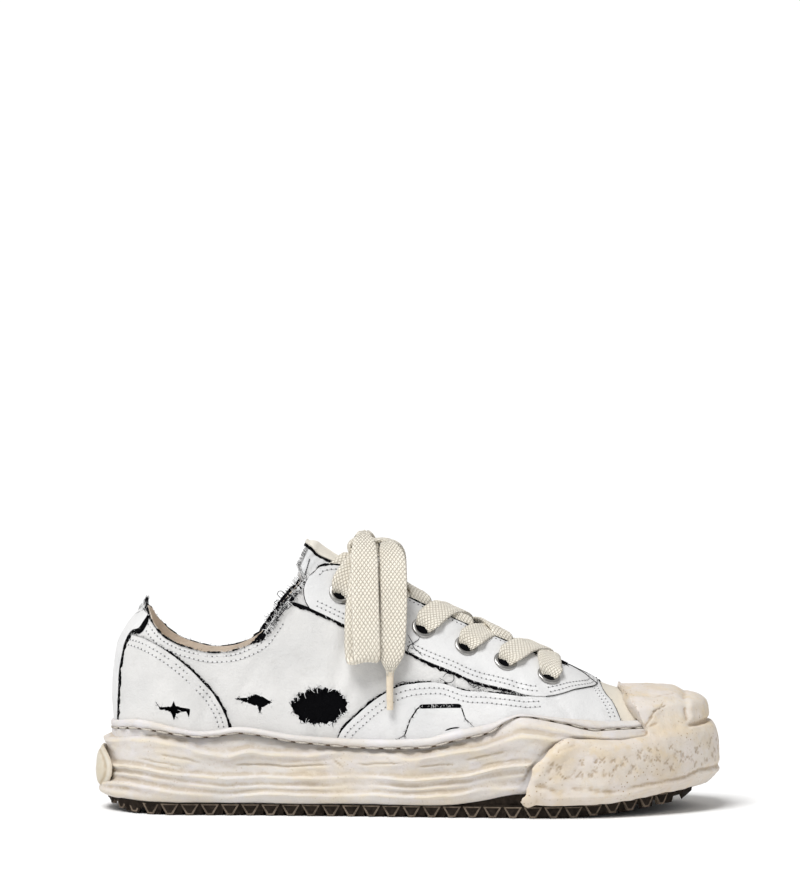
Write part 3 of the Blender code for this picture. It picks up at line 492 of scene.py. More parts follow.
def braid(name, slot, light, shade):
    """Flat braided cotton: its map counts millimetres along and across the lace."""
    look = Look(name, slot, Specular_IOR_Level=0.2, Sheen_Weight=0.25, Sheen_Roughness=0.5)
    along, across = look.add("SeparateXYZ", {0: look.add("UVMap")[0]})[:2]
    along = look.math("MULTIPLY", along, math.pi / WEAVE)
    across = look.math("MULTIPLY", across, math.pi / WEAVE_WIDE)
    first, second = look.math("ADD", along, across), look.math("SUBTRACT", along, across)
    ridges = [look.math("ABSOLUTE", look.math("SINE", angle)) for angle in (first, second)]
    lattice = look.math("MINIMUM", *ridges)
    strands = look.math("ABSOLUTE", look.math("SINE", look.math("MULTIPLY", first, 3.0)))
    other = look.math("ABSOLUTE", look.math("SINE", look.math("MULTIPLY", second, 3.0)))
    turn = look.math("MULTIPLY", look.math("SINE", first), look.math("SINE", second))
    strand = look.add("Mix", {0: look.span(turn, -0.05, 0.05), 2: strands, 3: other}, data_type="FLOAT")[0]
    fuzz = look.noise(0.0005, 3, 0.7)
    tone = look.mix(look.span(look.noise(0.012, 4), 0.35, 0.65, 0, 0.35), light, shade)
    # The lattice's gaps and the lines between strands are darker copies of the tone: painted shade between
    # the strands.
    gaps = look.span(lattice, 0.0, 0.55, 0.6, 0)
    tone = look.mix(gaps, tone, (shade[0] * 0.62, shade[1] * 0.58, shade[2] * 0.5))
    look.colour(look.mix(look.span(strand, 0.0, 0.6, 0.28, 0), tone, tuple(c * 0.7 for c in shade)))
    look.rough(look.span(fuzz, 0.3, 0.7, 0.82, 0.95))
    look.bump((look.span(lattice, 0, 0.6), 0.0003), (strand, 0.00005), (fuzz, 0.00005))
    return look


UPPER, TONGUE_SLOT, BEAD_SLOT, TREAD_SLOT = "upper_leather", "tongue_leather", "bead_rubber", "tread_rubber"
DULL = {"Specular_IOR_Level": 0.04}
# Leathers: name, slot, light, shade and dirt.
white = leather("white_leather", UPPER, (0.71, 0.7, 0.685), (0.62, 0.615, 0.605), (0.46, 0.45, 0.43))
overlay = leather("overlay_leather", UPPER, (0.74, 0.735, 0.73), (0.66, 0.66, 0.66), (0.48, 0.47, 0.45))
tongue_skin = leather(
    "tongue_leather", TONGUE_SLOT, (0.78, 0.78, 0.775), (0.66, 0.665, 0.67), (0.45, 0.44, 0.43)
)
ivory = leather("ivory_leather", UPPER, (0.74, 0.69, 0.6), (0.67, 0.62, 0.53), (0.52, 0.46, 0.36), 0.00003)
lining = leather("lining_leather", UPPER, (0.94, 0.84, 0.72), (0.88, 0.75, 0.61), (0.58, 0.46, 0.34))
sock = leather("insole_leather", "insole_leather", (0.62, 0.46, 0.32), (0.5, 0.36, 0.25), (0.25, 0.17, 0.12))
# Plain looks: name, slot, light, shade, the grain's size, roughness and the grain's depth.
raw = plain("raw_edge", UPPER, (0.5, 0.5, 0.49), (0.1, 0.1, 0.1), 0.0006, 0.9, 0.0002)
felt = plain("black_felt", UPPER, (0.001, 0.001, 0.0013), (0.004, 0.004, 0.005), 0.0006, 0.9, 0.0002, **DULL)
black = plain("black_thread", UPPER, (0.006, 0.006, 0.008), (0.02, 0.02, 0.025), 0.0004, 0.8, 0.0001, **DULL)
# Dark dots at the ends of each stitch: painted shade in the stitch holes.
hole_shade = plain("stitch_hole", UPPER, (0.1, 0.1, 0.1), (0.22, 0.22, 0.22), 0.0006, 0.9, 0.0001, **DULL)
fluff = plain("white_fluff", UPPER, (0.85, 0.85, 0.84), (0.7, 0.7, 0.7), 0.0005, 0.9, 0.0001)
thread = plain("seam_thread", UPPER, (0.8, 0.8, 0.8), (0.62, 0.62, 0.63), 0.0004, 0.75, 0.0001)
tape = plain("tongue_tape", TONGUE_SLOT, (0.82, 0.78, 0.7), (0.74, 0.7, 0.62), 0.0006, 0.8, 0.0001)
sole_thread = plain("sole_thread", BEAD_SLOT, (0.58, 0.54, 0.48), (0.4, 0.36, 0.31), 0.0008, 0.8, 0.0002)
# The dark brown of the sheet in the groove under the bead: painted shade.
groove_shade = plain("groove_shade", BEAD_SLOT, (0.05, 0.035, 0.025), (0.16, 0.11, 0.07), 0.0015, 0.85, 0.0002)
tread = plain(
    "tread_rubber", TREAD_SLOT, (0.012, 0.009, 0.007), (0.03, 0.023, 0.018), 0.0025, 0.82, 0.0004, **DULL
)
lug_tone = plain(
    "lug_rubber", TREAD_SLOT, (0.185, 0.147, 0.113), (0.085, 0.066, 0.05), 0.003, 0.8, 0.0003, **DULL
)
resin = plain("aglet_resin", "aglet_plastic", (0.74, 0.65, 0.52), (0.68, 0.58, 0.44), 0.0008, 0.45, 0.0001)
nickel = plain(
    "nickel", "eyelet_metal", (0.46, 0.45, 0.43), (0.34, 0.33, 0.32), 0.002, 0.34, 0.00006, Metallic=1.0
)
cotton = braid("lace_cotton", "lace_cotton", (0.9, 0.85, 0.745), (0.84, 0.77, 0.65))
# Rubbers: light, shade, stain, the dark tone deep in hollows, which is partly dirt and partly painted shade,
# and how many specks.
RUBBERS = {
    "sole_rubber": ((0.65, 0.62, 0.59), (0.6, 0.55, 0.51), (0.68, 0.6, 0.47), (0.42, 0.33, 0.22), 0.5),
    "bead_rubber": ((0.68, 0.655, 0.64), (0.62, 0.585, 0.555), (0.66, 0.59, 0.49), (0.38, 0.27, 0.17), 0.2),
    "bumper_rubber": ((0.69, 0.63, 0.56), (0.63, 0.55, 0.46), (0.66, 0.54, 0.37), (0.36, 0.25, 0.14), 0.9),
    "patch_rubber": ((0.68, 0.635, 0.57), (0.62, 0.57, 0.48), (0.58, 0.5, 0.36), (0.4, 0.3, 0.18), 0.5),
}
wall_rubber = rubber("wall_rubber", "sole_rubber", *RUBBERS["sole_rubber"])
bead_rubber, bumper_rubber, patch_rubber = (
    rubber(slot, slot, *RUBBERS[slot]) for slot in ("bead_rubber", "bumper_rubber", "patch_rubber")
)


# ---- Making meshes ----
def make(name, points, faces, look, replaces=(), tints=None, kinds=None, others=(), maps=None, sharp=45):
    """A piece from points in mm and lists of faces. kinds gives each face's place in (look, *others)."""
    data = bpy.data.meshes.new(name)
    corners = [row for part in faces for row in np.asarray(part).tolist()]
    data.from_pydata(np.asarray(points) * MM, [], corners)
    for each in (look, *others):
        data.materials.append(each.material)
    if kinds is not None:
        data.polygons.foreach_set("material_index", np.asarray(kinds, np.int32))
    for tint, values in (tints or {}).items():
        data.attributes.new(tint, "FLOAT", "POINT").data.foreach_set("value", np.asarray(values, np.float32))
    if maps is not None:
        at = np.empty(len(data.loops), np.int32)
        data.loops.foreach_get("vertex_index", at)
        data.uv_layers.new(name="UVMap").data.foreach_set("uv", np.asarray(maps, np.float32)[at].ravel())
    data.shade_smooth()
    data.set_sharp_from_angle(angle=math.radians(sharp))
    piece = bpy.data.objects.new(name, data)
    bpy.context.scene.collection.objects.link(piece)
    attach(piece, "root")
    if replaces:
        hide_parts(*replaces)
    return piece


def lattice_faces(rows, columns, loop_rows=False, loop_columns=False):
    """Four-sided faces between the points of a grid, row by row."""
    i, j = np.meshgrid(
        np.arange(rows if loop_rows else rows - 1),
        np.arange(columns if loop_columns else columns - 1),
        indexing="ij",
    )
    near, far = i * columns, (i + 1) % rows * columns
    right = (j + 1) % columns
    return np.stack([near + j, near + right, far + right, far + j], axis=-1).reshape(-1, 4)


class Heap:
    """Many small closed bodies, joined as one piece."""

    def __init__(self):
        self.points, self.faces, self.count = [], [], 0

    def add(self, points, *faces):
        points = np.asarray(points).reshape(-1, 3)
        self.points.append(points)
        self.faces += [part + self.count for part in faces]
        self.count += len(points)

    def strands(self, paths, radii, ups, sides=4):
        """Threads: paths is (threads, points, 3), and ups gives a direction across each point."""
        n, k = paths.shape[:2]
        along = unit(np.gradient(paths, axis=1))
        across = unit(np.cross(along, ups))
        up = np.cross(across, along)
        angle = np.arange(sides) * 2 * math.pi / sides
        ring = across[:, :, None] * np.cos(angle)[:, None] + up[:, :, None] * np.sin(angle)[:, None]
        points = paths[:, :, None] + ring * np.broadcast_to(radii, (n, k))[..., None, None]
        one = lattice_faces(k, sides, loop_columns=True)
        start = np.arange(n)[:, None, None] * k * sides
        caps = np.stack([np.arange(sides)[::-1], np.arange(sides) + (k - 1) * sides])
        self.add(points, (one + start).reshape(-1, 4), (caps + start).reshape(-1, sides))

    def make(self, name, look, **more):
        return make(name, np.concatenate(self.points), self.faces, look, **more)


# ---- The chart of the upper ----
WAY = (HEEL_ROUND + TOE_ROUND) * math.pi / 2 + TOE_X - HEEL_X - HEEL_ROUND - TOE_ROUND
GIRTH = 80.0  # w at the middle of the foot: w runs from 0 to 2 * GIRTH, and below 0 u is on the other side


def unroll(chart):
    """Station, side and t of points of the chart."""
    u, w = chart[..., 0], chart[..., 1]
    side = np.where((w <= GIRTH) == (u >= 0), LATERAL, MEDIAL)
    return np.clip(np.abs(u) / WAY, 0, 1), side, np.clip(1 - np.abs(1 - w / GIRTH), 0, 1)


def chart_at(s, side, t):
    """The chart's point there: unroll() the other way."""
    w = np.asarray(t) * GIRTH
    return np.stack([s * WAY, w if side == LATERAL else 2 * GIRTH - w], axis=-1)


# The unevenness of worn leather: the height, size and seed of each layer of lumps.
LEATHER_LUMPS = ((0.5, 30, 3), (0.22, 11, 5), (0.07, 4, 7))
# Soft troughs in the leather: where each starts and ends, its half width and its depth.
CREASES = (
    ((-28, 84), (-34, 62), 3.5, 0.7),
    ((-60, 66), (-52, 44), 3.0, 0.5),
    ((-19, 70), (-30, 52), 2.5, 0.5),
    ((-92, 60), (-97, 44), 2.6, 0.45),
    ((-70, 72), (-78, 60), 3.0, 0.4),
    ((52, 61), (60, 47), 2.6, 0.55),
    ((64, 62), (76, 47), 2.6, 0.5),
    ((36, 66), (44, 50), 2.4, 0.35),
    ((-127, 76), (-122, 58), 3.0, 0.4),
    ((8, 66), (-4, 60), 2.0, 0.4),
)


def beside(flat, start, end):
    """How far along the line from start to end the plane's points lie, from 0 to 1, and how far off it."""
    start, run = np.array(start, float), np.subtract(end, start)
    share = np.clip((flat - start) @ run / (run @ run), 0, 1)
    return share, np.linalg.norm(flat - start - share[..., None] * run, axis=-1)


def relief(points):
    """How far the worn leather stands off its true form."""
    rise = lumps(points, LEATHER_LUMPS)
    for start, end, half, depth in CREASES:
        away = beside(points[..., [0, 2]], start, end)[1]
        rise -= depth * (1.5 * peak(away, half) - 0.5 * peak(away, 2.2 * half))
    return rise


def skin(chart, out=0.0):
    """Points out millimetres over the leather."""
    s, side, t = unroll(chart)
    return over(s, side, t, out + relief(body(s, side, t)))


def spot(x, z):
    """The chart's point that is seen at x and z from the lateral side."""
    x, z = np.asarray(x, float), np.asarray(z, float)
    at = x
    for _ in range(14):  # rounds, which settle where the heel's lean takes the point
        near = np.clip(1 - (at - HEEL_X) / HEEL_LEAN_REACH, 0, 1) ** 2
        at = x - heel_lean(z) * near
    return chart_at(station_of(at), LATERAL, t_at_height(at, z))


def evenly(path, step):
    """The same line as points about step millimetres apart on the leather."""
    way = lengths(body(*unroll(path)))
    at = np.linspace(0, way[-1], max(2, round(way[-1] / step) + 1))
    return np.stack([np.interp(at, way, path[:, k]) for k in (0, 1)], axis=-1)


def drawn(points, step=0.6, bent=True):
    """A line through (x, z) points, in the chart: curved, or with its corners kept."""
    rough = spot(*np.array(points, float).T)
    if bent:
        return evenly(through(rough, 60 * len(rough)), step)
    runs = [np.linspace(a, b, 60)[:-1] for a, b in zip(rough, rough[1:])]
    return evenly(np.concatenate([*runs, rough[-1:]]), step)


def scales(path):
    """Millimetres for each unit of u and of w, measured over a short step each way."""
    found, reach = [], 0.3
    for step in ((reach, 0), (0, reach)):
        ends = [body(*unroll(path + np.array(step) * way)) for way in (-1, 1)]
        found.append(np.linalg.norm(ends[1] - ends[0], axis=-1) / (2 * reach))
    return np.maximum(np.stack(found, axis=-1), 0.05)


def aside(path, distance):
    """The line moved over the leather, to its left as the chart shows it."""
    size = scales(path)
    along = unit(np.gradient(path, axis=0) * size)
    left = np.stack([-along[:, 1], along[:, 0]], axis=-1)
    return path + left / size * np.broadcast_to(distance, len(path))[:, None]


COLLAR_SHARE = 9.0  # how far under the collar a line still follows it down on the inner side


def mirrored(path):
    """The same line on the inner side, run the other way. The collar is a little lower there."""
    s, from_foot = path[:, 0] / WAY, path[:, 1]
    under_collar = edge_t(s, np.full(len(s), LATERAL)) * GIRTH - from_foot
    dip = MEDIAL_COLLAR_DIP / COLLAR_STRETCH * collar_middle(station_x(s)) * peak(under_collar, COLLAR_SHARE)
    return np.stack([path[:, 0], 2 * GIRTH - from_foot + dip], axis=-1)[::-1]


def inside(points, loops):
    """Which points lie within the loops: within a hole is outside."""
    found, batch = np.zeros(len(points), bool), 4000
    for loop in loops:
        a, b = loop, np.roll(loop, -1, axis=0)
        for first in range(0, len(points), batch):
            x, y = np.split(points[first : first + batch], 2, axis=1)
            spans = (a[:, 1] > y) != (b[:, 1] > y)
            rise = np.where(b[:, 1] == a[:, 1], 1e-9, b[:, 1] - a[:, 1])
            cross = x < a[:, 0] + (y - a[:, 1]) / rise * (b[:, 0] - a[:, 0])
            found[first : first + batch] ^= (np.sum(spans & cross, axis=1) % 2).astype(bool)
    return found


FAR = 99.0  # millimetres: out of reach of everything


def nearest(points, lines):
    """How far each chart point is from the lines."""
    if not lines:
        return np.full(len(points), FAR)
    every = np.concatenate(lines)
    tree = KDTree(len(every))
    for i, point in enumerate(every):
        tree.insert((*point, 0), i)
    tree.balance()
    return np.array([tree.find((*point, 0))[2] for point in points])


def ragged(loop, amount, seed=1):
    """The loop with a torn edge."""
    wobble = noise(loop, 1.1, seed) * 0.6 + noise(loop, 0.5, seed + 1) * 0.4
    return aside(loop, amount * wobble)


SEAM_ROWS = (2.5, 5.0)  # how far the two rows of stitches lie from an edge
SEAM_DIP, SEAM_DIP_HALF = 0.2, 0.55  # how deep and wide a row presses the leather in
EDGE_REACH, HOLE_REACH = 1.6, 2.2  # how far in from an edge or a hole the leather curls
RIM_WEAR, RIM_REACH = 0.25, 0.35  # how far its upper corner is rounded off


def panel(
    name, edge, low, high, look, holes=(), seams=(), step=1.5, curl=0.3, hole_curl=0.9,
    replaces=(), under=None,
):
    """A piece of leather cut along edge, low to high millimetres over the upper, with its raw sides.

    It lifts a little at its edge, more at its holes, and dips along the rows of stitches beside the seams.
    """
    loops = [edge, *holes]
    lowest, highest = edge.min(axis=0), edge.max(axis=0)
    count = np.ceil((highest - lowest) / (step, step * 0.87)).astype(int)
    i, j = np.meshgrid(np.arange(count[0]), np.arange(count[1]), indexing="ij")
    grid = lowest + np.stack([(i + 0.5 * (j % 2)) * step, j * step * 0.87], axis=-1).reshape(-1, 2)
    grid = grid[inside(grid, loops)]
    grid = grid[nearest(grid, loops) > step / 2]
    joins, at = [], 0
    for loop in loops:
        order = np.arange(len(loop)) + at
        joins += np.stack([order, np.roll(order, -1)], axis=-1).tolist()
        at += len(loop)
    points = [Vector(p) for p in np.concatenate([*loops, grid]).tolist()]
    found = delaunay_2d_cdt(points, joins, [], 0, 1e-5)
    chart = np.array([tuple(p) for p in found[0]])
    triangles = np.array(found[2])
    triangles = triangles[inside(chart[triangles].mean(axis=1), loops)]
    used, triangles = np.unique(triangles, return_inverse=True)
    chart, triangles = chart[used], triangles.reshape(-1, 3)
    first, second, third = (chart[triangles[:, k]] for k in range(3))
    turned = np.cross(second - first, third - first)
    triangles[turned < 0] = triangles[turned < 0][:, ::-1]
    from_edge, from_hole = nearest(chart, [edge]), nearest(chart, list(holes))
    spots = body(*unroll(chart))
    wild = 0.55 + 0.45 * noise(spots, 5, 11)
    lift = wild * (curl * np.exp(-from_edge / EDGE_REACH) + hole_curl * np.exp(-from_hole / HOLE_REACH))
    from_seam = nearest(chart, list(seams))
    for row in SEAM_ROWS:
        lift -= SEAM_DIP * (0.8 + 0.4 * noise(spots, 2.2, 13)) * peak(from_seam - row, SEAM_DIP_HALF)
    rim = np.exp(-np.minimum(from_edge, from_hole) / RIM_REACH)
    top, bottom = skin(chart, high + lift - RIM_WEAR * rim), skin(chart, low + 0.6 * lift)
    pairs = np.concatenate([triangles[:, [0, 1]], triangles[:, [1, 2]], triangles[:, [2, 0]]])
    size = len(chart)
    code, back = pairs[:, 0] * size + pairs[:, 1], pairs[:, 1] * size + pairs[:, 0]
    rimmed = pairs[~np.isin(code, back)]
    sides = np.stack([rimmed[:, 1], rimmed[:, 0], rimmed[:, 0] + size, rimmed[:, 1] + size], axis=-1)
    kinds = np.repeat((0, 1, 1), (len(triangles), len(triangles), len(sides)))
    return make(
        name,
        np.concatenate([top, bottom]),
        [triangles, triangles[:, ::-1] + size, sides],
        look,
        replaces=replaces,
        kinds=kinds,
        others=(under or raw,),
        sharp=50,
    )


# ---- The upper's lines: x and z as seen from the side ----
EYESTAY_LOW = (
    (-45.9, 97.7), (-35.8, 93), (-28.6, 89.6), (0.2, 77.4), (7.4, 73.8), (22.5, 67.7), (30.9, 63.9),
    (40.1, 61.4), (49.7, 58.9), (59.5, 56.2), (65.6, 55.8),
)
QUARTER_TOP = ((-58.5, 102.4), (-52.6, 100.1), (-45.9, 97.7))
EYESTAY_FRONT = ((65.6, 55.8), (73.2, 56.8), (79.2, 58.3), (85.2, 58.7), (89, 58.9), (91, 70))
EYESTAY_BACK = ((-46.4, 112.6), (-48.7, 105.5), (-47.8, 100.9), (-45.9, 97.7))
BACKSTAY = (
    (-122.5, 94), (-125.5, 89.2), (-131.3, 84.1), (-134.2, 77), (-136.2, 67.3), (-136.7, 56),
    (-137.6, 34),
)
COUNTER = (
    (-136, 84.6), (-131.3, 84.1), (-124.4, 83), (-114.5, 78.2), (-103.2, 69.7), (-97.4, 63.9),
    (-90.3, 55.7), (-84.2, 41.9), (-83, 34),
)
MUDGUARD = (
    (-33.5, 33.5), (-32, 37.5), (-22.4, 48.6), (-12.1, 56.8), (-2.2, 61.7), (6.9, 63), (17.2, 62.7),
    (26.8, 59.4), (38.6, 58.5), (54.2, 56.4), (65.1, 55.9),
)
MUDGUARD_HIDDEN = ((65.1, 55.9), (73, 61), (80, 75))
VAMP_FRONT = ((91.5, 70), (94.4, 55.9), (97.8, 51.8), (100.1, 47.4), (101.2, 44.3), (102, 36))
CAP_BACK = ((84.5, 75), (87, 57), (92, 48), (95, 36))
CAP_FRONT_X = 117.0
RIDGE_SEAM = ((76.9, 68.0), (82.9, 64.4), (88.1, 60.9), (90.8, 59.2))
OVAL = (
    (-54.8, 52), (-50.5, 57.5), (-41.3, 60.5), (-32.5, 58.6), (-27.7, 52.7), (-32.5, 46.3),
    (-41.6, 43.8), (-50.5, 45.3), (-54.8, 52),
)
STAR_BACK = (
    (-118.6, 53.6), (-116.4, 51), (-111.3, 51.4), (-110.1, 54.2), (-109, 51.6), (-102.7, 50.2),
    (-103.1, 45.6), (-104.1, 49), (-106.6, 49), (-108.9, 47.9), (-110.1, 44.4), (-111, 48.2),
    (-112.6, 49.5), (-116.7, 49.7), (-118.6, 53.6),
)
STAR_FRONT = (
    (-81.6, 55.2), (-75.6, 55.7), (-71.4, 57.4), (-68, 56), (-63.4, 53.4), (-66.5, 52), (-68.2, 51.4),
    (-69.4, 48.5), (-71, 51.8), (-76.1, 53.4), (-81.6, 55.2),
)
FLAP = (
    (-4.6, 36.5), (-0.8, 38.3), (1.6, 45.4), (5.2, 51), (7.2, 52), (25, 52.3), (26.1, 51.3),
    (27.8, 46.3), (32.3, 42.3),
)
SMALL_CUT = ((18.2, 40.8), (21.5, 41.9), (25.2, 42.3))
CUT_BACKING = ((-7, 39), (-4, 55), (10, 57), (28, 56), (36, 45), (30, 38), (-7, 39))
COLLAR_SEAM = {"first_s": 0.03, "last_x": -60.0, "over": 0.6}
# The quarter's thickness, and how high the outer faces of the other panels lie over it.
QUARTER, EYESTAY, GUARD, COUNTER_HIGH, BACKSTAY_HIGH, CAP_HIGH = 0.9, 1.6, 1.15, 0.9, 1.2, 0.5
STITCH_GAP = 2.25  # from one stitch to the next
THREAD_TILT = (0.3, -1.0, 0.25)  # a direction that no loose thread runs in
# Loose fibres: the line they are on, how many, how far they reach, how high they lie and how they lean.
BLACK_HAIRS = (
    ("collar", 130, 1.3, 0.1, 0.1),
    ("backstay", 70, 1.8, 0.6, 0.6),
    ("counter", 100, 1.5, 0.5, 0.7),
    ("guard", 170, 1.9, 0.5, 0.6),
    ("vamp", 50, 1.4, 0.7, 0.5),
    ("throat", 140, 1.6, 1.2, 0.3),
    ("eyestay", 150, 1.7, 0.5, -0.7),
)
WHITE_HAIRS = (
    ("collar", 130, 1.5, 0.15, -0.1),
    ("backstay", 130, 2.0, 0.8, 0.4),
    ("counter", 110, 1.6, 0.8, 0.2),
    ("guard", 180, 2.2, 0.9, 0.3),
    ("throat", 80, 1.7, 1.5, 0.2),
    ("eyestay", 90, 1.5, 1.3, -0.3),
)
# Rows of stitches: the line, how far to its left each row lies, their height, and the points that they take.
STITCHES = (
    ("eyestay", (2.5, 5.0), EYESTAY - 0.14, 6, -6),
    ("front", (2.0, 4.3), EYESTAY - 0.05, 6, -6),
    ("guard", (-2.5, -5.0), GUARD - 0.14, 6, -6),
    ("vamp", (-2.5, -5.0), GUARD - 0.14, 8, -20),
    ("counter", (-2.5, -5.0), COUNTER_HIGH - 0.14, 6, -6),
    ("collar_seam", (-2.5, -5.0), -0.14, 6, -6),
    ("throat", (-2.6,), EYESTAY, 6, -6),
)
# Curls of loose black thread: the points of each.
CURLS = (
    ((-62.4, 92.3), (-60.8, 97.5), (-57, 101.8), (-52.5, 104.5), (-50.2, 104)),
    ((-61.5, 94.5), (-58.6, 99), (-60.5, 101.5), (-63.2, 100.4), (-60.4, 98.6), (-56.5, 99.4)),
    ((-64, 90.5), (-60, 94), (-57.5, 97), (-54, 99.2)),
    ((-59, 101), (-55.6, 103.8), (-52.6, 103.2), (-53.6, 101.2)),
    ((0.3, 84.8), (2.1, 82.4), (3.2, 78.4), (6.2, 76.6), (7.6, 74.6)),
    ((6.4, 83.4), (4.2, 81.5), (1.4, 79.6), (0.6, 77.2), (3.6, 76.2)),
    ((-33.6, 101.9), (-31.8, 99.6), (-28.6, 98.6), (-27.3, 96.7)),
    ((-5.3, 61.7), (-1.9, 63.1), (2.1, 62.8), (6.4, 64)),
    ((15.8, 65.4), (18.4, 63.6), (22.5, 64.6), (21.8, 67), (18.6, 67.2), (17.2, 65.4)),
    (
        (28.3, 64.4), (29.6, 62.1), (32, 62.6), (31.4, 60.8), (34.2, 61.2), (33.6, 59.8), (36.8, 60.8),
        (38.1, 59.8),
    ),
    ((30.3, 67.2), (28.2, 64.8), (31.2, 61.4), (33.6, 61.6)),
    ((38.6, 62.2), (42.6, 61.8), (45.2, 59), (43.8, 57.8), (47.6, 58.2), (50.8, 57.2)),
    ((39, 84.5), (41.2, 84.9), (42.6, 83.6), (44.7, 83.9), (46.9, 81.1)),
    ((57.5, 76.6), (60.2, 77), (62.2, 75.2), (65.4, 73.8)),
)


def chain(*paths, closed=False):
    """One line through the paths in turn, with straight joins between them, of points 1.2 apart."""
    following = [*paths[1:], paths[0]] if closed else list(paths[1:])
    parts = []
    for path, after in zip(paths, following):
        gap = after[0] - path[-1]
        reach = np.linalg.norm(gap)
        parts.append(path if reach > 0.05 else path[:-1])
        parts.append(path[-1] + gap * np.linspace(0, 1, int(reach / 1.2) + 2)[1:-1, None])
    return np.concatenate(parts if closed else [*parts, paths[-1]])


def both_sides(*paths):
    """A closed loop of the lateral paths and their mirror images."""
    lateral = chain(*paths)
    return chain(lateral, mirrored(lateral), closed=True)


def under_bead(first_x, last_x):
    """A lateral line behind the sole's edge, where the upper's pieces end."""
    s = np.linspace(station_of(first_x), station_of(last_x), 400)
    x = station_x(s)
    return evenly(chart_at(s, LATERAL, t_at_height(x, groove(x) - 5)), 1.5)


def opening(first_s, last_s):
    """The lateral edge of the collar and the throat, between two stations."""
    s = np.linspace(first_s, last_s, 600)
    return evenly(chart_at(s, LATERAL, edge_t(s, LATERAL)), 0.7)


def gash(path, wide, taper, least):
    """A closed loop round a cut along the path, wide millimetres across, that narrows to its ends."""
    share = np.linspace(0, 1, len(path))
    half = wide / 2 * np.minimum(1, taper * np.minimum(share, 1 - share)) + least
    return np.concatenate([aside(path, half), aside(path, -half)[::-1]])


def ribbon(heap, path, right, left, low, high, gaps=-1.0, seed=1):
    """A torn edge of black felt along the path. gaps is the share of it that is worn away."""
    count = len(path)
    points = body(*unroll(path))
    torn = noise(points, 2.2, seed) * 0.4 + noise(points, 0.8, seed + 3) * 0.35 + 0.95
    share = np.linspace(0, 1, count)
    ends = np.minimum(1, 14 * np.minimum(share, 1 - share))
    kept = (noise(points, 3.2, seed + 7) * 0.5 + 0.5) * 0.8 + (noise(points, 1.1, seed + 9) * 0.5 + 0.5) * 0.2
    worn = ease((kept - gaps) / 0.08)
    right, left = (np.broadcast_to(value, count) * torn * ends * worn for value in (right, left))
    middle = (left - right) / 2
    over_right, over_left = (-right * 0.7, high - 0.12), (left * 0.7, high - 0.1)
    sections = ((-right, low), over_right, (middle, high), over_left, (left, low), (middle, low - 0.1))
    rings = [skin(aside(path, offset), np.full(count, float(out))) for offset, out in sections]
    grid = np.stack(rings, axis=1)
    caps = np.stack([np.arange(len(rings))[::-1], np.arange(len(rings)) + (count - 1) * len(rings)])
    heap.add(grid, lattice_faces(count, len(rings), loop_columns=True), caps)


def hairs(heap, path, count, reach, height, lean=0.0, spread=0.7, rise=0.7, radius=0.11, seed=1):
    """Loose fibres that lie across the path, to its left where lean is 1 and to its right where it is -1."""
    draw = np.random.default_rng(seed)
    way = lengths(path)
    at = np.interp(draw.uniform(0, way[-1], count), way, np.arange(len(path)))
    at = np.minimum(at, len(path) - 1.001)
    i = at.astype(int)
    start = path[i] + (path[i + 1] - path[i]) * (at - i)[:, None]
    size = scales(start)
    along = unit(np.gradient(path, axis=0)[i] * size)
    side = np.where(draw.random(count) < (1 + lean) / 2, 1, -1)
    angle = side * (math.pi / 2 + draw.normal(0, spread, count))
    cos, sin = np.cos(angle), np.sin(angle)
    right, up = along.T
    heading = np.stack([right * cos - up * sin, right * sin + up * cos], axis=-1)
    turned = np.stack([-heading[:, 1], heading[:, 0]], axis=-1)
    u = np.linspace(0, 1, 5)
    long = reach * draw.uniform(0.35, 1, count)
    bend = draw.normal(0, 0.45, count)
    reach_out = heading[:, None] * (long[:, None] * (u - 0.12))[..., None]
    reach_out = reach_out + turned[:, None] * ((bend * long)[:, None] * u * u)[..., None]
    chart = start[:, None] + reach_out / size[:, None]
    out = height + rise * draw.uniform(0, 1, count)[:, None] * u**1.5
    radii = radius * (1 - 0.55 * u) * draw.uniform(0.7, 1.2, count)[:, None]
    heap.strands(skin(chart, out), radii, THREAD_TILT, 3)


def curl(heap, path, height, radius=0.17, seed=1):
    """One loose thread that wanders about the path."""
    points = body(*unroll(path))
    wander = aside(path, 0.5 * noise(points, 2.2, seed) + 0.25 * noise(points, 1.0, seed + 2))
    share = np.linspace(0, 1, len(path))
    out = height + 0.5 * (1 + noise(points, 3, seed + 5)) * np.sin(math.pi * share) ** 0.5
    heap.strands(skin(wander, out)[None], radius * (0.6 + 0.4 * np.sin(math.pi * share)), THREAD_TILT)


def sew(threads, holes, path, rows, height):
    """Rows of stitches beside the path: each a short thread between two dark dots, which are painted shade in
    its holes.
    """
    for row in rows:
        line = evenly(aside(path, row), STITCH_GAP)
        share = np.array((0.12, 0.3, 0.5, 0.7, 0.88))
        chart = line[:-1, None] + (line[1:] - line[:-1])[:, None] * share[:, None]
        arch = height + np.array((-0.22, 0.1, 0.17, 0.1, -0.22))
        threads.strands(skin(chart, np.broadcast_to(arch, chart.shape[:2])), 0.28, normal(*unroll(chart)))
        pair = np.repeat(line[:, None], 2, axis=1)
        out = np.broadcast_to(height + np.array((-0.3, 0.2)), pair.shape[:2])
        tilt = np.broadcast_to(unit(np.array((1.0, 0.1, 0.2))), (*pair.shape[:2], 3))
        holes.strands(skin(pair, out), 0.4, tilt, 6)


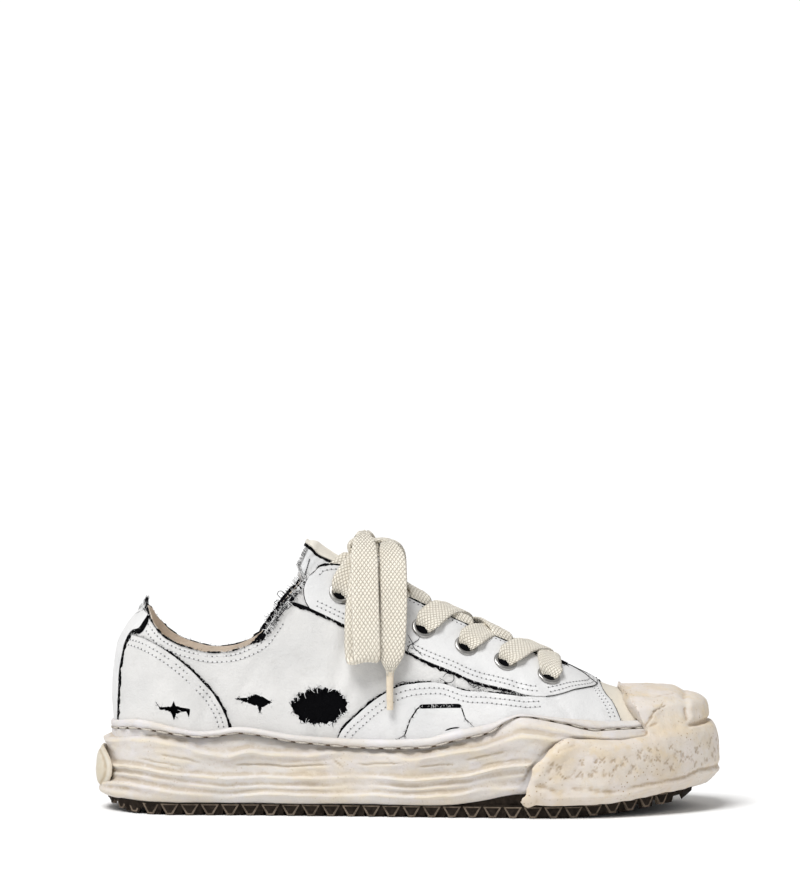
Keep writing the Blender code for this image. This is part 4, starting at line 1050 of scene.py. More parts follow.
def build_leather():
    """Lining, quarter, toe cap, mudguard, counter, backstay and eyestay, in the order they are laid."""
    lining_low = evenly(chart_at(np.linspace(0, station_of(126), 300), LATERAL, np.full(300, 0.03)), 2.5)
    whole_opening = opening(0, FRONT_S)
    lining_edge = both_sides(whole_opening[::3][::-1], lining_low)
    panel("upper_lining", lining_edge, -2.1, -0.95, felt, step=2.6, curl=0.0, under=lining)
    oval, star_back, star_front = (
        ragged(drawn(points, step=0.5, bent=points is OVAL)[:-1], amount, seed)
        for points, amount, seed in ((OVAL, 1.5, 3), (STAR_BACK, 0.35, 5), (STAR_FRONT, 0.35, 8))
    )
    collar_seam = opening(COLLAR_SEAM["first_s"], station_of(COLLAR_SEAM["last_x"]))
    collar_seam = aside(collar_seam, COLLAR_SEAM["over"])
    quarter_edge = both_sides(whole_opening[::-1], under_bead(HEEL_X, CAP_FRONT_X))
    holes = [oval, star_back, star_front]
    seams = [collar_seam, mirrored(collar_seam)]
    panel("quarters", quarter_edge, -QUARTER, 0, white, holes, seams, replaces=["upper"])
    cap_edge = both_sides(drawn(CAP_BACK), under_bead(95, CAP_FRONT_X))
    panel("toe_cap", cap_edge, -0.2, CAP_HIGH, ivory, curl=0.1)
    flap, small_cut = drawn(FLAP, step=0.5, bent=False), drawn(SMALL_CUT, step=0.5)
    opened = 0.55 + 1.3 * ease((body(*unroll(flap))[:, 2] - 51.3) / 0.8)
    guard_line = drawn(MUDGUARD)
    vamp_line = drawn(VAMP_FRONT)
    guard_edge = both_sides(vamp_line, under_bead(102, -33.5), guard_line, drawn(MUDGUARD_HIDDEN))
    guard_seams = [guard_line, mirrored(guard_line), vamp_line, mirrored(vamp_line)]
    cuts = [gash(flap, opened, 12, 0.05), gash(small_cut, 0.6, 6, 0.04)]
    panel("mudguard", guard_edge, 0, GUARD, overlay, cuts, guard_seams, hole_curl=0.25)
    panel("cut_backing", drawn(CUT_BACKING, step=1.2, bent=False)[:-1], 0.0, 0.3, felt, curl=0)
    counter_line = drawn(COUNTER)[4:]
    counter_low = under_bead(HEEL_X, -83)[::-1]
    lateral = chain(counter_line, counter_low)
    medial = (lateral * (-1, 1))[::-1]
    counter_edge, counter_seams = chain(lateral, medial, closed=True), [counter_line, counter_line * (-1, 1)]
    panel("heel_counter", counter_edge, 0, COUNTER_HIGH, white, [star_back], counter_seams)
    backstay_line = drawn(BACKSTAY)
    top = opening(0, station_of(-136))[::-1]
    edge_lateral = chain(top[:1] * (0, 1) + (0.01, 0.6), backstay_line)
    edge_medial = (edge_lateral * (-1, 1))[::-1]
    panel("backstay", chain(edge_lateral, edge_medial, closed=True), 0, BACKSTAY_HIGH, overlay, step=1.2)
    eyestay_line = drawn(EYESTAY_LOW)
    front = drawn(EYESTAY_FRONT)
    top_edge = opening(station_of(-46.5), FRONT_S)
    eyestay_edge = both_sides(front[::-1], eyestay_line[::-1], drawn(EYESTAY_BACK)[::-1], top_edge)
    eyestay_seams = [eyestay_line, mirrored(eyestay_line)]
    panel("eyestay", eyestay_edge, 0, EYESTAY, overlay, (), eyestay_seams)
    return {
        "oval": oval,
        "star_back": star_back,
        "star_front": star_front,
        "collar": opening(0.004, station_of(-47)),
        "throat": top_edge,
        "guard": guard_line,
        "vamp": vamp_line,
        "counter": counter_line,
        "backstay": backstay_line,
        "eyestay": eyestay_line,
        "front": front,
        "flap": flap,
        "collar_seam": collar_seam,
    }


def torn_lines(lines, medial):
    """Every raw edge: its line, the felt's reach to its right and left, its low and high, and its gaps."""
    top = chain(drawn(QUARTER_TOP), lines["eyestay"])
    share = np.linspace(0, 1, len(top))
    heavy = 1.15 + 0.9 * peak(share - 0.03, 0.05) + 0.5 * peak(share - 0.24, 0.05)
    heavy = heavy + 0.45 * peak(share - 0.62, 0.06) - 0.35 * ease((share - 0.9) / 0.1)
    share = np.linspace(0, 1, len(lines["counter"]))
    counter_left = 0.9 + 0.2 * ease((share - 0.45) / 0.2)
    counter_gaps = 0.75 * (1 - ease((share - 0.4) / 0.1)) - 0.2
    share = np.linspace(0, 1, len(lines["guard"]))
    guard_gaps = 0.62 * ease((share - 0.42) / 0.1) - 0.1
    share = np.linspace(0, 1, len(lines["collar"]))
    climb = ease((share - 0.62) / 0.1)
    collar_right, collar_left, collar_gaps = 0.4 + 1.5 * climb, 0.5 + 0.8 * climb, 0.4 * (1 - climb)
    return (
        (top, heavy, 0.5, 0.0, 0.95, -1.0),
        (lines["backstay"], 0.4, 2.7, 0.2, 1.25, -1.0),
        (lines["counter"], 0.3, counter_left, 0.0, 1.05, counter_gaps),
        (lines["guard"], 0.25, 0.95, 0.0, 1.1, guard_gaps),
        (lines["vamp"], 0.4, 1.2, 0.5, 1.45, 0.95),
        (lines["front"], 0.55, 0.4, 1.2, 1.85, 0.95),
        (lines["throat"], 0.8, 1.0, 0.4, 1.9, 0.35),
        (drawn(RIDGE_SEAM), 0.45, 0.45, 1.3, 1.9, -1.0),
        (drawn(EYESTAY_BACK), 0.3, 0.3, 0.2, 1.2, -1.0),
        (lines["collar"], collar_right, collar_left, -1.0, 0.7 if medial else 0.4, collar_gaps),
    )


def same(path):
    """The line as it is."""
    return path


def over_heel(path):
    """The same line on the other side of the heel's middle."""
    return path * (-1, 1)


def build_wear(lines):
    """The torn black edges, loose fibres and stitches along the lines."""
    torn, fibres, fuzz, loose = Heap(), Heap(), Heap(), Heap()
    threads, holes = Heap(), Heap()
    # Left of a lateral line that runs to the toe is up, and so it is on its mirror image, which runs back.
    for number, turn in enumerate((same, mirrored)):
        seed = 20 * number
        for path, right, left, low, high, gaps in torn_lines(lines, number == 1):
            if number == 1:
                right, left, gaps = (np.broadcast_to(value, len(path))[::-1] for value in (right, left, gaps))
            ribbon(torn, turn(path), right, left, low, high, gaps, seed + len(torn.points))
        for heap, rows, radius, shift in ((fibres, BLACK_HAIRS, 0.11, 0), (fuzz, WHITE_HAIRS, 0.13, 1)):
            for name, count, reach, height, lean in rows:
                path = turn(lines[name])
                hairs(heap, path, count, reach, height, lean, radius=radius, seed=seed + count + shift)
        for k, points in enumerate(CURLS):
            curl(loose, turn(drawn(points, step=0.5)), 0.7 if points[0][1] < 70 else 1.5, seed=seed + k)
        for name, rows, height, first, last in STITCHES:
            sew(threads, holes, turn(lines[name][first:last]), rows, height)
    for name, count in (("oval", 120), ("star_back", 16), ("star_front", 26)):
        line = lines[name]
        under = COUNTER_HIGH if name == "star_back" else 0.0
        hairs(fuzz, line, count, 2.6, under + 0.15, 0.6, 0.5, radius=0.2, seed=count)
        hairs(fibres, line, count // 2, 2.0, under + 0.3, 0.0, 0.6, radius=0.17, seed=count + 5)
        ribbon(torn, line, 0.3, 0.45, under - 0.5, under + 0.2, seed=count)
    hairs(fibres, lines["flap"], 40, 1.4, GUARD, 0, seed=3)
    hairs(fuzz, lines["flap"], 40, 1.8, GUARD, 0, seed=4)
    # A tuft over the heel, and thick fringes where the collar climbs to the tongue.
    tuft = opening(0.0, 0.035)
    for number, turn in enumerate((same, over_heel)):
        hairs(fibres, turn(tuft), 190, 4.6, 0.4, 0.6, 0.5, 1.6, 0.16, seed=40 + number)
        hairs(fuzz, turn(tuft), 70, 3.6, 0.9, 0.4, 0.5, 1.2, 0.14, seed=44 + number)
    climb = lines["collar"][int(len(lines["collar"]) * 0.72) :]
    for number, turn in enumerate((same, mirrored)):
        hairs(fibres, turn(climb), 190, 3.6, 0.5, 0.1, 0.8, 1.0, 0.14, seed=50 + number)
        hairs(fuzz, turn(climb), 170, 3.2, 0.7, -0.3, 0.8, 1.0, 0.16, seed=54 + number)
    torn.make("torn_edges", felt)
    fibres.make("black_fibres", black)
    fuzz.make("white_fibres", fluff)
    loose.make("loose_threads", black)
    threads.make("upper_stitches", thread)
    holes.make("stitch_holes", hole_shade)


RING_RADIUS, RING_HALF, RING_HIGH = 4.75, 1.0, 0.75  # of the metal: its middle, half width and height
RING_SIDES, RING_SECTION = 48, 16
HOLE_WALL = ((4.3, -0.5), (4.0, 0.2), (3.0, 0.2), (3.0, -0.5))  # round the dark floor: radius and height


def build_eyelets():
    """A rolled metal ring for each lace hole, over a dark hole whose walls and floor are painted shade."""
    turns, section = (np.linspace(0, 2 * math.pi, count + 1)[:-1] for count in (RING_SIDES, RING_SECTION))
    dark = Heap()
    for name, side in SIDES:
        for k, (x, z) in enumerate(zip(EYELETS["x"], EYELETS["z"]), 1):
            s, t = station_of(x), t_at_height(x, z)
            n = normal(s, side, t)
            centre = skin(chart_at(s, side, t), EYESTAY + 0.15)
            first = unit(np.cross(n, (0, 1, 0.3)))
            second = np.cross(n, first)
            ring = first * np.cos(turns)[:, None] + second * np.sin(turns)[:, None]
            radius = RING_RADIUS + RING_HALF * np.cos(section)
            high = RING_HIGH * np.sin(section) + 0.12 * (np.cos(section) < 0)
            points = centre + ring[:, None] * radius[:, None] + n * high[:, None]
            heap = Heap()
            heap.add(points, lattice_faces(RING_SIDES, RING_SECTION, loop_rows=True, loop_columns=True))
            heap.make(f"eyelet_{name}_{k}_ring", nickel, replaces=[f"eyelet_{name}_{k}"])
            # Dark walls and a black disc inside each ring: painted shade in the hole.
            walls = [centre + ring * radius + n * height for radius, height in HOLE_WALL]
            dark.add(np.stack(walls), lattice_faces(4, RING_SIDES, loop_rows=True, loop_columns=True))
            floor = [centre + ring * 3.1 + n * height for height in (0.22, -0.45)]
            dark.add(np.stack(floor), *disc_faces(RING_SIDES))
    dark.make("eyelet_holes", felt)


def disc_faces(count):
    """The faces of a flat drum: its side, top and bottom."""
    order = np.arange(count)
    return lattice_faces(2, count, loop_columns=True), np.stack([order[::-1], order + count])


# ---- Tongue ----
TONGUE_ROWS, TONGUE_COLUMNS, TONGUE_LONG = 150, 90, 130.0
# The bare tape over its top: rows, columns, and which way its end turns down behind. Each layer of it has a
# name, a look, half its width as a share of the tongue's, its length, and how high it lies.
TAPE_ROWS, TAPE_COLUMNS, TAPE_TURN = 36, 40, np.array((1.0, 0, -0.6))
# The black felt layer, wider and lower than the tape, is painted shade under the tape's lifted edges.
TAPES = (("tongue_label", tape, 0.24, 20.0, 1.1), ("label_edge", felt, 0.31, 20.6, 0.6))
RIB_PITCH, RIB_HIGH = 2.6, 0.22


def tongue_at(along, share, out):
    """A point on the tongue: along runs from 0 at its top, and share from -1, its lateral edge, to 1."""
    along, share = np.broadcast_arrays(along, share)
    first, last = station_of(TONGUE["x"][0]), station_of(TONGUE["x"][-1])
    s = first + (last - first) * along
    side, off = np.where(share < 0, LATERAL, MEDIAL), np.abs(share)
    t = 1 - (1 - t_at_half_gap(s, side, tongue_half(station_x(s)))) * off
    s = s - TONGUE_SWEEP * off**2 * (1 - along) ** 3
    free = np.clip((t - edge_t(s, side) - 0.16) / 0.25, 0, 1)
    puff = tongue_puff(station_x(s)) * free * free * (3 - 2 * free)
    mean = peak(off, 0.06)[..., None]  # 1 along the middle, where the normals of both sides are mixed
    n = normal(s, side, t)
    n = unit(n * (1 - mean) + unit((n + normal(s, -side, t)) * (1, 0, 1)) * mean)
    return body(s, side, t) + n * (puff - WALL - 0.6 + out)[..., None]


def build_tongue():
    """The padded and ribbed sheet under the laces."""
    along = np.linspace(0, 1, TONGUE_ROWS)[:, None] ** 1.2
    share = np.linspace(-1, 1, TONGUE_COLUMNS)
    flat = tongue_at(along, share, 0 * along * share)
    way = along * TONGUE_LONG
    ribs = RIB_HIGH * np.sin((way + 5 * share**2 + 0.6 * noise(flat, 6, 3)) * 2 * math.pi / RIB_PITCH)
    ribs = ribs * (0.5 + 0.5 * noise(flat, 9, 4)) * (np.abs(share) < 0.93) * (way > 1)
    rise = ribs + 0.35 * noise(flat, 12, 5) + 0.15 * noise(flat, 4, 6)
    thick = TONGUE_THICK * np.sqrt(np.clip(1 - np.abs(share) ** 8 * 0.85, 0, 1))
    thick = thick * np.sqrt(np.clip(1 - (1 - np.minimum(way / 2.2, 1)) ** 2 * 0.8, 0.05, 1))
    outer = tongue_at(along, share, rise - (TONGUE_THICK - thick) * 0.4)
    inner = tongue_at(along, share, rise * 0.4 - (TONGUE_THICK - thick) * 0.4 - thick)
    grid = np.concatenate([outer, inner[:, ::-1]], axis=1)
    columns = grid.shape[1]
    pads = lattice_faces(TONGUE_ROWS, columns, loop_columns=True)
    k = np.arange(TONGUE_COLUMNS - 1)
    quads = np.stack([k, k + 1, columns - 2 - k, columns - 1 - k], axis=-1)
    ends = [quads, quads[:, ::-1] + (TONGUE_ROWS - 1) * columns]
    pad = make("tongue_pad", grid.reshape(-1, 3), [pads, *ends], tongue_skin, replaces=["tongue"], sharp=60)


def build_tapes():
    """The bare tape over the tongue's top, and the black felt that shows round it, painted shade under the
    tape's lifted edges.
    """
    for name, look, wide, long, high in TAPES:
        share = np.linspace(-wide, wide, TAPE_COLUMNS)
        steps = np.linspace(-1.6, long, TAPE_ROWS)[:, None] / TONGUE_LONG
        along, behind = np.maximum(steps, 0), np.minimum(steps * TONGUE_LONG, 0)[..., None] * TAPE_TURN
        uneven = 0.2 * noise(tongue_at(along, share, 0 * steps * share), 4, 8)
        top, under = (tongue_at(along, share, level + uneven) + behind for level in (high, high - 0.75))
        grid = np.concatenate([top, under[::-1]])
        order = np.arange(len(grid))[::-1] * TAPE_COLUMNS
        faces = [lattice_faces(len(grid), TAPE_COLUMNS, loop_rows=True)]
        faces.append(np.stack([order, order[::-1] + TAPE_COLUMNS - 1]))
        make(name, grid.reshape(-1, 3), faces, look)


def fray_tongue():
    """The torn cloth along the tongue's top and sides."""
    frayed, pale = Heap(), Heap()
    draw, u = np.random.default_rng(7), np.linspace(0, 1, 5)
    for side in (LATERAL, MEDIAL):
        for heap, count, reach, radius in ((frayed, 150, 2.4, 0.13), (pale, 150, 2.6, 0.14)):
            at = draw.uniform(0.0, 0.24, count)
            run = draw.uniform(-1.2, 1.2, count)[:, None] * u
            away = draw.uniform(0.3, 1, count)[:, None] * reach * u
            share = side * (0.95 + draw.uniform(-0.03, 0.04, count)[:, None] + away / 26)
            along = np.maximum(at[:, None] + run / TONGUE_LONG, 0)
            points = tongue_at(along, share, 0.4 * draw.random(count)[:, None] + 0.8 * u)
            heap.strands(points, radius * (1 - 0.5 * u), THREAD_TILT, 3)
        for start in np.arange(0.56, 0.95, 0.05):
            share = side * np.linspace(start, start + 0.03, 3)
            points = tongue_at(np.full(3, 2.4 / TONGUE_LONG), share, np.array((0.1, 0.4, 0.1)))
            frayed.strands(points[None], 0.26, THREAD_TILT)
        for heap, count, radius in ((frayed, 110, 0.15), (pale, 130, 0.15)):
            start, lean = draw.uniform(0.35, 1, count)[:, None], draw.uniform(-0.05, 0.05, count)[:, None]
            share = side * (start + lean * u)
            along = 0.3 / TONGUE_LONG + 0 * share
            points = tongue_at(along, share, 0.3 + 0.6 * u * draw.random(count)[:, None])
            points[..., 0] -= u * draw.uniform(0.3, 1.9, count)[:, None]
            heap.strands(points, radius * (1 - 0.5 * u), THREAD_TILT, 3)
    frayed.make("tongue_black_fibres", black)
    pale.make("tongue_white_fibres", fluff)


def dress(node, look):
    """The CAD object itself, with a better material."""
    for place in bpy.data.objects[node].material_slots:
        place.material = look.material


# ---- Sole ----
WALL_ROWS, SOLE_COLUMNS = 66, 330
WALL_THINS = {"toe_x": 70.0, "toe_run": 50.0, "toe": 0.45, "heel_x": -112.0, "heel_run": 20.0, "heel": 0.3}
BEAD_THINS = {"heel_x": -112.0, "heel_run": 22.0, "heel": 0.45, "toe_x": 112.0, "toe_run": 14.0, "toe": 0.5}
BEAD_HALF, BEAD_GAP = 2.4, 0.4
# The folds that sag along the wall: where each one's crest runs, how far it stands out, and its reach.
FOLDS = (
    {
        "x": (-141, -129, -118, -107, -96, -84, -74, -62, -49, -37, -22, -6, 2, 12, 26, 37, 47, 56, 75),
        "z": (
            33.5, 34.6, 34.1, 32.4, 29.1, 27.8, 30.2, 28.8, 28.5, 29.1, 30.2, 30.1, 28.6, 28.9, 31.2, 33.2,
            37.5, 39.5, 36,
        ),
        "out": 3.0,
        "above": 1.5,
        "below": 6.0,
    },
    {
        "x": (-143, -129, -112, -96, -78, -22, 19, 33, 43, 54, 70),
        "z": (22.2, 21.7, 19.5, 18.4, 18.3, 18.8, 18.8, 20.1, 23.3, 25.3, 26),
        "out": 1.9,
        "above": 1.0,
        "below": 2.6,
    },
    {
        "x": (-143, -129, -112, -96, -78, -22, 19, 33, 43, 54, 70),
        "z": (18.0, 17.2, 15.3, 13.8, 13.4, 14.2, 14.4, 15.5, 18.0, 20.0, 21),
        "out": 1.1,
        "above": 0.9,
        "below": 2.6,
    },
    {
        "x": (-145, -138, -121, -104, -82, -57, -22, 20, 45, 60),
        "z": (12.0, 13.1, 11.6, 10.0, 9.2, 10.2, 10.4, 10.2, 13.0, 14.5),
        "out": 2.2,
        "above": 1.3,
        "below": 3.5,
    },
)
# Creases that are pressed in between them: start and end (x, z), half width and depth.
DENTS = (
    ((-80, 24.6), (-58, 23.6), 0.7, 0.9),
    ((-60, 23.2), (-37, 24.4), 0.6, 0.8),
    ((-24, 24.8), (-2, 25.6), 0.6, 0.6),
    ((6, 24.2), (22, 25.4), 0.6, 0.6),
    ((-118, 29.0), (-98, 25.4), 0.8, 0.6),
    ((-34, 27.0), (-30, 22.5), 0.6, 0.7),
    ((-10, 28.5), (-5, 24.0), 0.5, 0.5),
    ((28, 27.5), (46, 31.5), 0.7, 0.7),
    ((-128, 26.5), (-108, 23.6), 0.6, 0.5),
    ((36, 25.0), (52, 28.0), 0.6, 0.5),
)
BUMPER_SWELL = 1.4  # its thin edges are thickened before they're softened
BUMPER_LIFT = 2.6  # its worn foot stands this far above the part's
BUMPER_VOXEL = 0.95
BUMPER_LUMPS = ((0.75, 15, 3), (0.3, 6.5, 4), (0.12, 2.6, 5))
# Its creases: start and end (x, z), half width and depth.
BUMPER_DENTS = (
    ((116.6, 48.6), (124.5, 52.6), 0.45, 1.0),
    ((117.5, 57), (131, 58.8), 0.8, 0.5),
    ((112.5, 41.5), (119, 50), 0.6, 0.7),
    ((112, 41.5), (120, 44.5), 0.8, 0.5),
    ((70, 32), (80, 35.5), 1.2, 0.7),
    ((66, 22), (71, 29), 1.6, 0.8),
    ((60, 17.5), (72, 12.5), 2.0, 0.8),
    ((76, 15), (98, 13), 1.6, 0.5),
    ((104, 14.5), (130, 17), 1.2, 0.4),
    ((84, 34.5), (106, 38.5), 2.4, 0.7),
    ((128, 39), (146, 41), 1.6, 0.4),
)
KNOB = {"x": 133.5, "low": 42.5, "high": 60.0, "half": 37.0, "out": 1.2}  # the lump in front of the toe
# The fold behind and under the knob at the toe.
KNOB_FOLD = (
    ((133.2, 50.5), (134, 43.6), 1.2, 0.9),
    ((134, 42), (146, 43.2), 0.8, 1.6),
    ((145, 43.2), (152, 46.5), 0.8, 1.0),
)
SCRATCH_BAND = {"x": (60, 75, 100, 134), "low": (17, 19.5, 21, 22), "high": (24, 29, 31, 35)}
SCRATCH_START, SCRATCH_PITCH, SCRATCH_TURNS, SCRATCH_HALF = 67.0, 3.6, (-50, 44), 0.6
LUG_PITCH = 9.6  # from one lug to the next
LUG_OUT, INSET_OUT = (2.0, 4.5), (4.1, 4.55)  # how far out the two faces of a lug and of its inset stand
LUG_TOP_HALF, LUG_LOW_HALF, LUG_TALL, LAST_LUG_X = 4.35, 1.5, 5.4, 119.0
STITCH_PITCH, STITCH_LONG = 8.4, 6.1  # of the long stitches in the groove
STITCH_SUNK = np.array((1.2, 0.45, 0.1, 0, 0, 0, 0.1, 0.45, 1.2))
fold_lines = [smooth(fold["x"], fold["z"]) for fold in FOLDS]


def around(first, last, count):
    """Stations and sides of a closed loop round the shoe: heel, lateral side, toe, medial side."""
    stations = np.linspace(first, last, count)
    inner = stations[1:-1]
    s = np.concatenate([stations, inner[::-1]])
    return s, np.concatenate([np.full(count, LATERAL), np.full(count - 2, MEDIAL)])


def thinning(x, ends):
    """The share that a form loses towards the heel and towards the toe."""
    to_heel = np.clip((ends["heel_x"] - x) / ends["heel_run"], 0, 1)
    to_toe = np.clip((x - ends["toe_x"]) / ends["toe_run"], 0, 1)
    return ends["heel"] * to_heel + ends["toe"] * to_toe


def level(s, side, out, z):
    """Points at the heights z, out millimetres outside the outline."""
    xy = outline(s, side, out)
    return np.concatenate([xy, np.broadcast_to(z, xy.shape[:-1])[..., None]], axis=-1)


def hug(s, side, z, out):
    """Points at the heights z that keep out millimetres from body(), measured level."""
    t = t_at_height(station_x(s), z)
    n = squared(s, normal(s, side, t)[..., :2])
    xy = body(s, side, t)[..., :2] + n * np.asarray(out)[..., None]
    return np.concatenate([xy, np.broadcast_to(z, xy.shape[:-1])[..., None]], axis=-1)


def trough(flat, start, end, half, depth):
    """A pressed-in line between two points of the plane, fading out at its ends."""
    share, away = beside(flat, start, end)
    fade = np.minimum(1, 5 * np.minimum(share, 1 - share) + 0.25)
    return depth * fade * (peak(away, half) - 0.35 * peak(away, 2.6 * half))


def wall_foot(x):
    """The height of the wall's lower edge, which sags over the tread at the heel and along the side."""
    return lip_z(x) - 1.8 * ease((-108 - x) / 30) - 1.6 * ease((x + 134) / 22) * ease((78 - x) / 60)


def wall_form(s, side, v):
    """How far the side wall stands out, and its height, at v from its lip (0) to the groove (1)."""
    x = station_x(s)
    low, high = wall_foot(x), groove(x) - 0.35
    z = low + (high - low) * v
    points = level(s, side, 5.0, z)
    out = wall_out(v) * (1 - thinning(x, WALL_THINS))
    drift = 1.5 * noise(points * (1, 1, 0.4), 17, 3) + 0.35 * noise(points, 6, 4)
    seen = ease((88 - x) / 24)
    for fold, line in zip(FOLDS, fold_lines):
        above = z - line(x) - drift
        height = fold["out"] * np.clip(1 + 1.1 * noise(points * (1, 1, 2.5), 21, 7), 0.3, 1.5)
        over_crest = peak(above, 1.35 * fold["above"])
        under_crest = np.exp(np.minimum(above, 0) / fold["below"])
        out = out + (height * np.where(above > 0, over_crest, under_crest) - 0.4 * fold["out"]) * seen
    flat = points[..., [0, 2]] + 0.5 * noise(points, 5, 9)[..., None]
    for dent in DENTS:
        out = out - trough(flat, *dent)
    # The heel's lower corner swells out, and so does the roll under the groove along the forefoot.
    out = out + 2.6 * ease((-110 - x) / 20) * ease((13 - z) / 5)
    out = out + 3.2 * ease((-128 - x) / 12) * peak(z - 10, 4.5)
    roll = peak(z - groove(x) + 3.4, 1.9) * ease((x - 48) / 10)
    out = out + 0.9 * roll + 0.4 * noise(points, 13, 5) + 0.16 * noise(points * (1, 1, 2.2), 5, 6)
    out = out + 0.05 * noise(points, 1.6, 10)
    # Behind the bumper it is flat, and at its lip it is rounded off.
    under_bumper = ease((x - 51) / 4) * ease((bumper_top(x) + 1.2 - z) / 2.2)
    out = out - (out - np.minimum(out, 4.2)) * under_bumper
    return out * np.minimum(1, 0.62 + 0.38 * np.sqrt(np.clip(v / 0.05, 0, 1))), z


def hollows(out, gain, reach=3):
    """Where a field of heights dips below its surroundings, from 0 to 1. A gain under 0 finds its crests."""
    total = 0.0
    for k in (1, reach):
        total = total + (np.roll(out, k, axis=0) + np.roll(out, -k, axis=0) - 2 * out) / k
    total[:reach], total[-reach:] = 0, 0
    return np.clip(gain * total, 0, 1)


def build_wall():
    """The side wall: sagging folds of rubber, darker in their creases, partly dirt and partly painted shade.
    """
    s, side = around(0, 1, SOLE_COLUMNS)
    v = np.linspace(0, 1, WALL_ROWS)[:, None]
    s, side, v = np.broadcast_arrays(s[None], side[None], v)
    out, z = wall_form(s, side, v)
    outer = level(s, side, out, z)
    s, side = s[0], side[0]
    x = station_x(s)
    # Along the forefoot the wall's top runs in to the upper, so no slit is left there.
    forefoot = ease((x - 5) / 50)[:, None]
    top = level(s, side, 1.2, groove(x) - 0.6) * (1 - forefoot)
    top = top + forefoot * hug(s, side, groove(x) - 0.6, np.full(len(x), 0.5))
    bottom = level(s, side, 1.2, wall_foot(x) + 0.8)
    foot = level(s, side, out[0] - 1.6, wall_foot(x) - 0.15)
    grid = np.concatenate([outer, top[None], bottom[None], foot[None]])
    rows, columns = grid.shape[:2]
    hidden = np.zeros((3, columns))
    # Darker in the hollows of the wall: partly dirt and partly painted shade.
    grime_and_shade, crest = (np.concatenate([hollows(out, gain=gain), hidden]) for gain in (1.6, -1.6))
    # Its two lowest rows, at the lip over the tread, are darkened too: painted shade.
    grime_and_shade[:2] = 0.35
    faces = lattice_faces(rows, columns, loop_rows=True, loop_columns=True)
    tints = {"grime_and_shade": grime_and_shade.ravel(), "crest": crest.ravel()}
    make("side_wall", grid.reshape(-1, 3), [faces], wall_rubber, ["midsole"], tints, sharp=70)


def build_bead():
    """The roll along the top of the wall, the long stitches in the groove below it, and a dark sheet in the
    groove that is painted shade.
    """
    s, side = around(0, 1, SOLE_COLUMNS)
    x = station_x(s)
    sides = 20
    angles = np.linspace(0, 2 * math.pi, sides + 1)[:-1, None]
    middle, half = (bead_top(x) + groove(x)) / 2, (bead_top(x) - groove(x)) / 2 - 0.1
    thick = BEAD_HALF * (1 - thinning(x, BEAD_THINS))
    wave = level(s, side, 4.0, middle)
    half = half * (1 + 0.06 * noise(wave, 9, 2))
    thick = thick * (1 + 0.12 * noise(wave, 12, 3) + 0.05 * noise(wave, 4, 4))
    every_s, every_side = np.broadcast_arrays(s + 0 * angles, side)
    grid = hug(every_s, every_side, middle + half * np.sin(angles), BEAD_GAP + thick + thick * np.cos(angles))
    grid = grid + 0.06 * noise(grid, 2.0, 5)[..., None] * np.array((0, 0, 1))
    # The bead's underside, over the groove, is darkened: painted shade.
    grime_and_shade = 0.5 * np.broadcast_to(peak(angles - 1.6 * math.pi, 0.45), grid.shape[:2])
    faces = lattice_faces(sides, len(s), loop_rows=True, loop_columns=True)
    make("bead", grid.reshape(-1, 3), [faces[:, ::-1]], bead_rubber, ["welt"], {"grime_and_shade": grime_and_shade.ravel()})
    seam, dark = Heap(), Heap()
    slim = 1 - 0.8 * thinning(x, BEAD_THINS)
    # A dark sheet lines the groove behind the stitches: painted shade.
    front = [hug(s, side, groove(x) + rise, np.full(len(s), 3.3) * slim) for rise in (-0.6, 0.6)]
    back = hug(s, side, groove(x), np.full(len(s), 1.6))
    grid = np.stack([*front, back + (0, 0, 0.6), back - (0, 0, 0.6)])
    dark.add(grid, lattice_faces(4, len(s), loop_rows=True, loop_columns=True))
    ring = hug(s, side, groove(x), np.full(len(s), 4.4) * slim)
    way = lengths(ring)
    for start in np.arange(2.0, way[-1] - 8, STITCH_PITCH):
        at = start + np.linspace(0, STITCH_LONG, len(STITCH_SUNK))
        points = np.stack([np.interp(at, way, ring[:, k]) for k in range(3)], axis=-1)
        centre = points * (1, 0, 1)
        points = points + unit(centre - points) * STITCH_SUNK[:, None]
        seam.strands(points[None], 0.5 - 0.1 * STITCH_SUNK, (0, 0, 1.0), 6)
    seam.make("sole_stitches", sole_thread)
    dark.make("groove_shadow", groove_shade)


